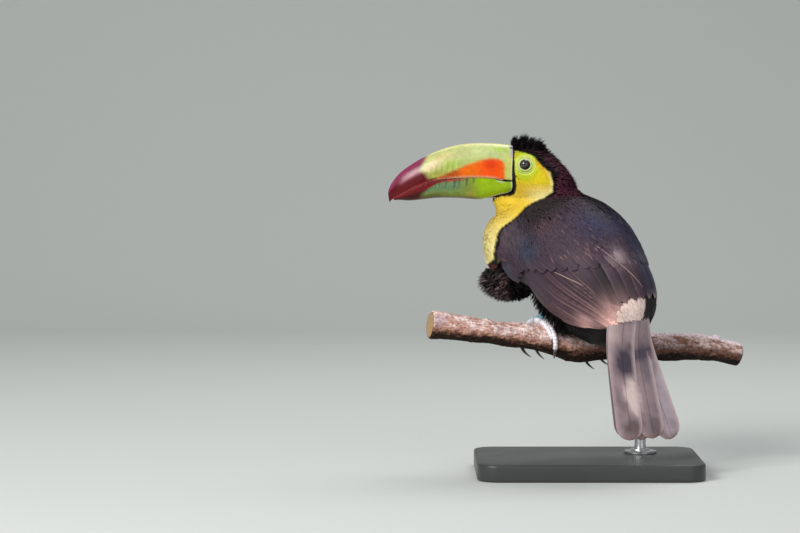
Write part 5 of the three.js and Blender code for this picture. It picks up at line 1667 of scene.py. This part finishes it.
def bark_material():
    """Bark with its own tint, pores and dark cracks."""
    material, shader, nodes = new_material("perch_bark_surface", Specular_IOR_Level=0.25)
    colour, cloud, place = nodes.mottled(400.0, 0.6, 1.35)
    pores = nodes.texture("ShaderNodeTexVoronoi", place, "Distance", Scale=330.0)
    dark = nodes.spread(pores, 0.02, 0.2, 0.55, 1.0)
    nodes.link(nodes.multiply(colour, dark, 0.8), shader.inputs["Base Color"])
    nodes.link(nodes.spread(cloud, 0.3, 0.7, 0.95, 0.7), shader.inputs["Roughness"])
    nodes.relief(shader, nodes.maths("ADD", cloud, dark), 0.55, 0.0008)
    return material


def wood_material():
    """Bare wood of the sawn ends."""
    material, shader, nodes = new_material("sawn_wood", Roughness=0.75, Specular_IOR_Level=0.3)
    colour, cloud, _ = nodes.mottled(900.0, 0.75, 1.2)
    nodes.link(colour, shader.inputs["Base Color"])
    nodes.relief(shader, cloud, 0.3, 0.0004)
    return material


# The bark's tints carry painted light from above: dark painted shade underneath, the bark's brown and rose
# where it is lit, a pale of painted sunlight on the most lit bark and a painted highlight along the top.
BARK_SHADE = (0.022, 0.010, 0.006)
BARK_BROWN = (0.20, 0.085, 0.055)
BARK_ROSE_LIT = (0.52, 0.28, 0.22)
BARK_SUNLIT_PALE = (0.97, 0.78, 0.76)
BARK_GREY = (0.42, 0.31, 0.36)
# painted highlight along the very top
BARK_TOP_HIGHLIGHT = (0.80, 0.64, 0.69)  # along the very top
WOOD_PALE = (0.48, 0.32, 0.17)
WOOD_RING = (0.24, 0.13, 0.06)
WOOD_RIM = (0.12, 0.06, 0.03)
KNOTS = [  # share of the branch's length, angle from its top, height, share of the length that it covers
    (0.175, 0.3, 2.4, 0.011), (0.37, 0.1, 1.4, 0.010), (0.915, 0.2, 3.6, 0.013),
    (0.44, 2.9, 2.6, 0.010), (0.475, 2.7, 2.0, 0.008), (0.70, 2.4, 1.8, 0.012),
]


class TOUCAN_OT_branch(bpy.types.Operator):
    """Grow the cut length of branch, with flaky bark and sawn ends"""

    bl_idname = "toucan.branch"
    bl_label = "Branch"

    def execute(self, context):
        s = np.linspace(0, 1, 560)[:, None]
        angle = once_round(120)[None]
        places = over_perch(s, angle, 0.0)
        stretched = places * [0.45, 1, 1]
        coarse = noises(stretched, 9.0, 4, 3.0)
        fine = noises(stretched, 2.4, 4, 11.0)
        flakes = smooth(np.abs(noises(stretched, 6.0, 3, 23.0)), 0.02, 0.12)
        foot = peak(s, 0.40, 0.07) + peak(s, 0.56, 0.06)
        relief = 0.55 * coarse + 0.35 * fine + 0.5 * (flakes - 1)
        for at, side, high, wide in KNOTS:
            turned = np.angle(np.exp(1j * (angle - side)))
            relief = relief + high * peak(s, at, wide, turned, 0, wide * 24)
        relief = relief * (1 - 0.6 * np.clip(foot, 0, 1))
        worn = 0.8 * (1 - smooth(s * PERCH_LENGTH, 0, 1.4))
        worn = worn + 0.8 * (1 - smooth((1 - s) * PERCH_LENGTH, 0, 1.4))
        points = over_perch(s, angle, relief - worn - 0.2)
        # painted light and shade: lit is 1 on the top, turned a little to the near side, and falls to 0
        # underneath, which keeps the dark painted shade; near_cut is the left part of the branch, painted
        # more brightly
        lit = smooth(np.cos(angle - 0.45) * np.ones_like(s), -0.45, 0.8)
        near_cut = smooth(-s, -0.6, -0.4)
        tint = fill(BARK_SHADE, points)
        tint = paint(tint, BARK_BROWN, smooth(lit + 0.3 * fine, 0.1, 0.4))
        rosy = smooth(lit + 0.35 * fine + 0.2 * coarse, 0.35, 0.7)
        tint = paint(tint, BARK_ROSE_LIT, lerp(0.25, 1, near_cut) * rosy)
        # painted sunlight: the most lit bark turns pale
        pale = smooth(lit + 0.4 * coarse + 0.25 * fine, 0.8, 1.2)
        tint = paint(tint, BARK_SUNLIT_PALE, lerp(0.5, 0.9, near_cut) * pale)
        patches = smooth(noises(stretched, 22.0, 3, 41.0), 0.0, 0.5)
        # grey patches, shown on the lit side only
        tint = paint(tint, BARK_GREY, 0.5 * patches * smooth(lit, 0.5, 0.9))
        # painted highlight along the top, away from the left part; bark that is neither lit nor in the left
        # part is darkened as painted shade
        crest = smooth(np.cos(angle) + 0.06 * fine, 0.74, 0.88) * (1 - near_cut)
        shadow = np.maximum(near_cut, smooth(lit, 0.8, 0.95))
        tint = paint(tint * lerp(0.6, 1, shadow)[..., None], BARK_TOP_HIGHLIGHT, 0.9 * crest)
        tint = tint * (0.5 + 0.5 * flakes)[..., None]
        piece = rings_object("branch_bark", points, bark_material(), np.clip(tint, 0, 1))
        finish_piece(piece, "perch_bark", "perch")
        wood = wood_material()
        for name, end, inward in (("left", 0.0, 1), ("right", 1.0, -1)):
            middle, ahead = perch_middle(end)
            share = np.linspace(0, 1, 26)[:, None]
            loop = over_perch(end, angle, -1.6)
            out = -inward * ahead
            face = middle + (loop - middle) * share[..., None] + out * (0.35 - 0.05 * share**2)[..., None]
            rings = np.concatenate([face[1:], face[-1:] - out * 2.0])
            ringed = 0.5 + 0.5 * np.sin(share * 52 + 1.2 * np.sin(angle * 2) + 0.5 * np.sin(angle * 5))
            grain = paint(fill(WOOD_PALE, face), WOOD_RING, 0.6 * ringed)
            grain = paint(grain, WOOD_RIM, smooth(share, 0.93, 1.0))
            tints = np.concatenate([grain[1:], grain[-1:]])
            cap = rings_object("sawn_end_" + name, rings, wood, tints)
            finish_piece(cap, "perch_bark")
        return {"FINISHED"}


TOE_PALE = (0.97, 0.90, 0.96)
TOE_BLUE = (0.20, 0.34, 0.44)
TOE_SEAM = (0.24, 0.17, 0.20)
TOE_END = (0.30, 0.22, 0.24)
CLAW_DARK = (0.10, 0.075, 0.075)
CLAW_ROOT = (0.30, 0.24, 0.22)
PAD_PALE = (0.80, 0.74, 0.80)
PAD_BLUE = (0.12, 0.30, 0.42)
LEG_BLUE = (0.10, 0.27, 0.42)
LEG_PLATE = (0.25, 0.42, 0.50)
LEG_SEAM = (0.02, 0.04, 0.06)
STANCE = {"left": (19.0, 31.0), "right": (-16.0, -28.0)}  # each foot, forward and left
LEG_PLATES = 15
TOE_RADIUS = 3.3
CLAW_POINT = 0.12  # its radius
# Each toe: where it starts and ends along the branch, how far round it reaches, and its size.
TOES = [(3, 17, 118, 1.0), (-1, 11.5, 88, 0.86), (-4, -10, -136, 1.0), (3, 5, -128, 0.88)]
HIP = np.array([-9.0, 22.0, 58.0])


def foot_share(name):
    """The share of the branch's length at which a foot stands."""
    at = to_frame(np.array([*STANCE[name], 0.0])) / MM
    shares = np.linspace(0, 1, 1001)
    return shares[np.abs(perch_middle(shares)[0][:, 0] - at[0]).argmin()]


TUBE_UP = np.array([0.13, 0.27, 0.95])  # no leg or toe runs along it


def tube_rings(path, radius, sides):
    """Rings of points round a path, with a radius at each of its points."""
    ahead = unit(np.gradient(path, axis=0))
    side = unit(np.cross(TUBE_UP, ahead))
    rise = np.cross(ahead, side)
    turn = once_round(sides)
    reach = radius[:, None]
    sideways = side[:, None] * (np.cos(turn) * reach)[..., None]
    return path[:, None] + sideways + rise[:, None] * (np.sin(turn) * reach)[..., None]


class TOUCAN_OT_feet(bpy.types.Operator):
    """Wrap the scaled toes and dark claws round the branch, under the blue legs"""

    bl_idname = "toucan.feet"
    bl_label = "Feet and legs"

    def execute(self, context):
        scaly = skin_material("toe_scales", 0.42, 1500.0, 0.2)
        claw_horn = horn_material("claw_horn")
        for name in ("left", "right"):
            share = foot_share(name)
            for number, (start, end, reach, size) in enumerate(TOES):
                w = np.linspace(0, 1, 150)
                along = share + lerp(start, end, w**0.8) / PERCH_LENGTH
                radius = TOE_RADIUS * size
                path = over_perch(along, radians(reach) * w, radius * 0.92 + 0.2)
                scutes = 9 + 2 * (size > 0.9)
                phase = (w * scutes) % 1
                step = 0.16 * smooth(phase, 0, 0.25) - 0.16 * smooth(phase, 0.55, 1)
                joints = 0.07 * np.cos(w * 3 * 2 * pi)
                girth = radius * (1.02 - 0.28 * w + joints * 0.5) * (1 + 0.6 * step)
                rings = tube_rings(path, girth * (1 - 0.35 * smooth(w, 0.955, 1.0)), 28)
                seam = smooth(phase, 0.9, 1.0) + smooth(phase, 0.1, 0.0)
                tint = fill(TOE_PALE, rings)
                tint = paint(tint, TOE_BLUE, 0.55 * smooth(w, 0.3, 0.0)[:, None])
                tint = paint(tint, TOE_SEAM, 0.6 * seam[:, None])
                tint = paint(tint, TOE_END, 0.5 * smooth(w, 0.8, 1.0)[:, None])
                toe = rings_object(f"toe_{name}_{number}", rings, scaly, tint)
                finish_piece(toe, "toe_skin", *(["foot_" + name] if number == 0 else []))
                tip = path[-1]
                ahead = unit(path[-1] - path[-6])
                inward = unit(perch_middle(along[-1])[0] - tip)
                c = np.linspace(0, 1, 40)[:, None]
                hook = 5.5 if reach > 0 else 4.5
                sweep = perch_middle(along[-1])[1] * (0 if reach > 0 else 9)
                long = 16 if reach > 0 else 20
                line = tip + ahead * (long * size * (c - 0.12)) + inward * (hook * size * c**2 - 1.2 * c)
                line = line + sweep * size * c**2
                rings = tube_rings(line, radius * 0.62 * (1 - c[:, 0]) ** 0.65 + CLAW_POINT, 24)
                tint = paint(fill(CLAW_DARK, rings), CLAW_ROOT, smooth(c, 0.3, 0.0))
                claw = rings_object(f"claw_{name}_{number}", rings, claw_horn, tint)
                finish_piece(claw, "toe_skin")
            self.leg(name, share, scaly)
        return {"FINISHED"}

    def leg(self, name, share, scaly):
        """The tarsus with its plates, up into the thigh's feathers, and the pad that the toes leave."""
        sign = np.sign(STANCE[name][1])
        top = over_perch(share, 0.0, 7.4)
        normal = unit(top - perch_middle(share)[0])
        knee = to_frame(HIP * [1, sign, 1]) / MM
        foot = top - normal * 3.5
        bird_back = (to_frame(np.array([-3.0, 0, 2])) - to_frame(np.zeros(3))) / MM
        ankle = lerp(foot, knee, 0.4) + bird_back
        w = np.linspace(0, 1, 120)
        path = spline([foot, ankle, knee], w)
        phase = (w * LEG_PLATES) % 1
        plates = smooth(phase, 0, 0.2) - smooth(phase, 0.6, 1)
        girth = 3.1 + 7 * smooth(w, 0.35, 1) + 0.22 * plates * (1 - smooth(w, 0.4, 0.6))
        rings = tube_rings(path, girth, 36)
        tint = fill(LEG_BLUE, rings)
        tint = paint(tint, LEG_PLATE, 0.5 * smooth(phase, 0.2, 0.5)[:, None])
        seam = smooth(phase, 0.92, 1.0) + smooth(phase, 0.08, 0.0)
        tint = paint(tint, LEG_SEAM, 0.6 * seam[:, None])
        tint = paint(tint, BELLY, smooth(w, 0.38, 0.5)[:, None])
        leg = rings_object("tarsus_" + name, rings, scaly, tint)
        finish_piece(leg, "leg_skin", "leg_" + name)
        self.thigh(name, to_bird(path * MM), girth)
        at = over_perch(share, 0.0, 3.6)
        angle = np.linspace(0.03, pi - 0.03, 40)[:, None]
        turn = once_round(48)[None]
        ahead = perch_middle(share)[1]
        near = np.cross(ahead, normal)
        bumps = 1 + 0.05 * np.sin(turn * 4) * np.sin(angle) + 0.02 * np.sin(turn * 17 + angle * 9)
        pad = (
            at
            + normal * (np.cos(angle) * 4.6)[..., None]
            + ahead * (np.sin(angle) * np.cos(turn) * 6.4 * bumps)[..., None]
            + near * (np.sin(angle) * np.sin(turn) * 6.0 * bumps)[..., None]
        )
        tint = paint(fill(PAD_PALE, pad), PAD_BLUE, smooth(np.cos(angle), 0.2, 0.9))
        piece = rings_object("foot_pad_" + name, pad, scaly, tint)
        finish_piece(piece, "toe_skin")

    def thigh(self, name, path, girth):
        """Black feathers that hang over the leg's upper part."""
        rng = np.random.default_rng(51)
        at = rng.integers(38, 105, 480)
        down = unit(path[at - 5] - path[at])
        side = unit(np.cross(down, [1.0, 0, 0]))
        turn = rng.uniform(0, 2 * pi, (len(at), 1))
        out = side * np.cos(turn) + np.cross(down, side) * np.sin(turn)
        tints = np.array(BELLY) * rng.uniform(0.5, 1.6, (len(at), 1))
        long, half = rng.uniform(9, 13, len(at)), rng.uniform(0.6, 1.0, len(at))
        roots = path[at] + out * girth[at, None] * 0.6
        plumes("thigh_plumes_" + name, roots, unit(down + 0.5 * out), down, long, half, 0.5, tints)


# ---------- stand
BASE_CORNER = 0.022
BASE_EDGE = 0.0024
ROD_FOOT = 0.017
CUP_DEPTH = 0.0105
CUP_REACH = 0.0008  # how far the cup's rim goes into the bark
# Radius and height of the rod's rings, over its foot, over the bottom of its cup, and over its top.
ROD_RINGS = [
    [
        (0.0174, 0.0003), (0.0174, 0.0020), (0.0168, 0.0026), (0.0104, 0.0034),
        (0.0100, 0.0046), (0.0068, 0.0052), (0.0060, 0.0085),
    ],
    [
        (0.0060, -0.012), (0.0066, -0.0105), (0.0066, -0.0095), (0.0060, -0.008),
        (0.0062, -0.006), (0.0095, 0.0), (0.0106, 0.003),
    ],
    [(0.0110, 0.0), (0.0080, 0.001), (0.0045, 0.002), (0.0015, 0.003)],
]


class TOUCAN_OT_stand(bpy.types.Operator):
    """Turn a bevelled base plate and a rod with its flange and cup under the branch"""

    bl_idname = "toucan.stand"
    bl_label = "Stand"

    def execute(self, context):
        satin, steel = paint_material(), steel_material()
        low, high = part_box("stand_base")
        bpy.ops.object.select_all(action="DESELECT")
        bpy.ops.mesh.primitive_cube_add(size=1, location=(low + high) / 2, scale=high - low)
        base = context.object
        base.name = base.data.name = "base_plate"
        bpy.ops.object.transform_apply(location=True, rotation=True, scale=True)
        self.pick(base, lambda a, b: abs(a.z - b.z) > 0.001)
        bpy.ops.mesh.bevel(offset=BASE_CORNER, segments=10, affect="EDGES")
        bpy.ops.object.mode_set(mode="OBJECT")
        flat = lambda z: z > high.z - 1e-6 or z < low.z + 1e-6
        self.pick(base, lambda a, b: abs(a.z - b.z) < 1e-6 and flat(a.z))
        bpy.ops.mesh.bevel(offset=BASE_EDGE, segments=4, affect="EDGES")
        bpy.ops.object.mode_set(mode="OBJECT")
        bpy.ops.object.shade_smooth_by_angle(angle=radians(35))
        base.data.materials.append(satin)
        finish_piece(base, "stand_paint", "stand_base")
        low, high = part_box("stand_rod")
        middle = (low + high) / 2
        start = (middle.x, middle.y, low.z)
        bpy.ops.object.select_all(action="DESELECT")
        bpy.ops.mesh.primitive_circle_add(vertices=64, radius=ROD_FOOT, fill_type="NGON", location=start)
        rod = context.object
        rod.name = rod.data.name = "steel_rod"
        bpy.ops.object.transform_apply(location=True, rotation=True, scale=True)
        bpy.ops.object.mode_set(mode="EDIT")
        bpy.ops.mesh.select_all(action="SELECT")
        radius, at = ROD_FOOT, low.z
        for level, rings in zip((low.z, high.z - CUP_DEPTH, high.z), ROD_RINGS):
            for to_radius, rise in rings:
                height, share = level + rise, to_radius / radius
                bpy.ops.mesh.extrude_region_move(TRANSFORM_OT_translate={"value": (0, 0, height - at)})
                pivot = (middle.x, middle.y, height)
                bpy.ops.transform.resize(value=(share, share, 1), center_override=pivot)
                radius, at = to_radius, height
        bpy.ops.mesh.select_all(action="SELECT")
        bpy.ops.mesh.normals_make_consistent(inside=False)
        bpy.ops.object.mode_set(mode="OBJECT")
        for vertex in rod.data.vertices:
            if vertex.co.z > high.z - 0.0001:
                vertex.co.z = bark_underside(vertex.co) + CUP_REACH
        bpy.ops.object.shade_smooth_by_angle(angle=radians(35))
        rod.data.materials.append(steel)
        finish_piece(rod, "stand_steel", "stand_rod")
        return {"FINISHED"}

    def pick(self, piece, keep):
        """Select the edges whose ends pass a test, and go to edit mode."""
        bpy.ops.object.mode_set(mode="EDIT")
        bpy.ops.mesh.select_mode(type="EDGE")
        bpy.ops.mesh.select_all(action="DESELECT")
        bpy.ops.object.mode_set(mode="OBJECT")
        at = piece.data.vertices
        for edge in piece.data.edges:
            edge.select = keep(at[edge.vertices[0]].co, at[edge.vertices[1]].co)
        bpy.ops.object.mode_set(mode="EDIT")


def bark_underside(place):
    """How high the branch's underside is over a place of the frame, in metres."""
    share = (place[0] / MM + PERCH_LENGTH / 2) / PERCH_LENGTH
    for _ in range(3):
        middle, ahead = perch_middle(np.float64(share))
        share = share + (np.array(place)[:2] / MM - middle[:2]) @ ahead[:2] / PERCH_LENGTH
    near = unit(np.cross(ahead, UP))
    across = (np.array(place)[:2] / MM - middle[:2]) @ near[:2] / perch_radius(share, pi)
    aside = np.clip(across, -0.98, 0.98)
    return over_perch(share, pi - np.arcsin(aside), 0.0)[2] * MM


def paint_material():
    """Satin charcoal paint with a faint orange-peel texture and a worn sheen."""
    look = dict(Coat_Weight=0.15, Coat_Roughness=0.3, Base_Color=(0.035, 0.036, 0.037, 1))
    material, shader, nodes = new_material("stand_satin_paint", **look)
    place = nodes.place()
    peel = nodes.noise(place, Scale=900.0, Detail=3.0)
    haze = nodes.noise(place, Scale=14.0, Detail=6.0)
    nodes.link(nodes.spread(haze, 0.3, 0.7, 0.38, 0.52), shader.inputs["Roughness"])
    nodes.relief(shader, peel, 0.08, FINE_RELIEF)
    return material


def steel_material():
    """Brushed steel, its fine lines running round the rod."""
    look = dict(Metallic=1.0, Base_Color=(0.50, 0.50, 0.51, 1))
    material, shader, nodes = new_material("stand_brushed_steel", **look)
    lines = nodes.noise(nodes.stretch(nodes.place(), (60, 60, 6000)), Scale=1.0, Detail=2.0)
    nodes.link(nodes.spread(lines, 0.3, 0.7, 0.26, 0.42), shader.inputs["Roughness"])
    return material


# ---------- stage
class ToucanStage(bpy.types.PropertyGroup):
    """Light and backdrop"""

    key: power("Key light", "Power of the soft light from the upper left", 84)
    fill: power("Fill light", "Power of the light near the camera", 15)
    ground: colour("Backdrop", "Floor and backdrop", (0.60, 0.62, 0.60))


class TOUCAN_OT_stage(bpy.types.Operator):
    """Set the toucan before a plain pale backdrop, with soft lights and a camera"""

    bl_idname = "toucan.stage"
    bl_label = "Stage"

    def execute(self, context):
        stage = context.scene.toucan_stage
        bpy.ops.object.select_all(action="DESELECT")
        bpy.ops.mesh.primitive_plane_add(size=1)
        ground = context.object
        ground.name = ground.data.name = "pale_floor"
        bpy.ops.object.mode_set(mode="EDIT")
        bpy.ops.transform.resize(value=(12, 8, 1))
        bpy.ops.transform.translate(value=(0, -1, 0))
        bpy.ops.mesh.select_all(action="DESELECT")
        bpy.ops.object.mode_set(mode="OBJECT")
        for edge in ground.data.edges:
            edge.select = all(ground.data.vertices[v].co.y > 2.9 for v in edge.vertices)
        bpy.ops.object.mode_set(mode="EDIT")
        bpy.ops.mesh.select_mode(type="EDGE")
        bpy.ops.mesh.extrude_region_move(TRANSFORM_OT_translate={"value": (0, 1.2, 5)})
        bpy.ops.object.mode_set(mode="OBJECT")
        bend = ground.modifiers.new("cove", "BEVEL")
        bend.width = 1.0
        bend.segments = 10
        bend.angle_limit = radians(20)
        bpy.ops.object.modifier_apply(modifier=bend.name)
        bpy.ops.object.shade_smooth()
        look = dict(Roughness=0.9, Specular_IOR_Level=0.2, Base_Color=(*stage.ground, 1))
        material = new_material("backdrop_paper", **look)[0]
        ground.data.materials.clear()
        ground.data.materials.append(material)
        aim = Vector((-0.02, 0, 0.22))  # the bird's middle
        for name, at, size, power, tint in (
            ("key_light", (-1.7, -2.1, 1.8), 1.2, stage.key, (1.0, 0.985, 0.96)),
            ("fill_light", (1.3, -2.6, 1.0), 1.8, stage.fill, (0.95, 0.97, 1.0)),
            ("top_light", (0.4, 0.9, 2.2), 1.2, stage.key * 0.25, (1.0, 1.0, 1.0)),
        ):
            lamp = bpy.data.lights.new(name, "AREA")
            lamp.size, lamp.energy, lamp.color = size, power, tint
            light = bpy.data.objects.new(name, lamp)
            light.location = at
            light.rotation_euler = (aim - Vector(at)).to_track_quat("-Z", "Y").to_euler()
            context.scene.collection.objects.link(light)
        world = bpy.data.worlds.new("pale_surroundings")
        world.use_nodes = True
        world.node_tree.nodes["Background"].inputs["Color"].default_value = (0.80, 0.86, 0.88, 1)
        world.node_tree.nodes["Background"].inputs["Strength"].default_value = 0.36
        context.scene.world = world
        context.scene.view_settings.view_transform = "Standard"
        lens = bpy.data.cameras.new("camera")
        lens.lens, lens.sensor_width = 135, 36
        camera = bpy.data.objects.new("camera", lens)
        camera.location = (-0.1974, -3.1457, 0.3824)
        camera.rotation_euler = (radians(87), 0, 0)
        context.scene.collection.objects.link(camera)
        context.scene.camera = camera
        return {"FINISHED"}


# ---------- the add-on
SETTINGS = {
    "toucan_coat": ToucanCoat,
    "toucan_wings": ToucanWings,
    "toucan_bill": ToucanBill,
    "toucan_stage": ToucanStage,
}
OPERATORS = (
    TOUCAN_OT_skin,
    TOUCAN_OT_head_coat,
    TOUCAN_OT_body_coat,
    TOUCAN_OT_plumes,
    TOUCAN_OT_wings,
    TOUCAN_OT_tail,
    TOUCAN_OT_bill,
    TOUCAN_OT_eyes,
    TOUCAN_OT_branch,
    TOUCAN_OT_feet,
    TOUCAN_OT_stand,
    TOUCAN_OT_stage,
)


class TOUCAN_PT_panel(bpy.types.Panel):
    """The toucan's pieces and their settings"""

    bl_label = "Toucan"
    bl_idname = "TOUCAN_PT_panel"
    bl_space_type = "VIEW_3D"
    bl_region_type = "UI"
    bl_category = "Toucan"

    def draw(self, context):
        for title in SETTINGS:
            group = getattr(context.scene, title)
            box = self.layout.box()
            box.label(text=title.split("_")[1].capitalize())
            for key in group.__annotations__:
                box.prop(group, key)
        for operator in OPERATORS:
            self.layout.operator(operator.bl_idname)


def register():
    for each in (*SETTINGS.values(), *OPERATORS, TOUCAN_PT_panel):
        bpy.utils.register_class(each)
    for title, group in SETTINGS.items():
        setattr(bpy.types.Scene, title, PointerProperty(type=group))


def unregister():
    for title in SETTINGS:
        delattr(bpy.types.Scene, title)
    for each in (TOUCAN_PT_panel, *reversed(OPERATORS), *SETTINGS.values()):
        bpy.utils.unregister_class(each)


def main():
    register()
    for operator in OPERATORS:
        group, name = operator.bl_idname.split(".")
        getattr(getattr(bpy.ops, group), name)()


if __name__ == "__main__":
    main()
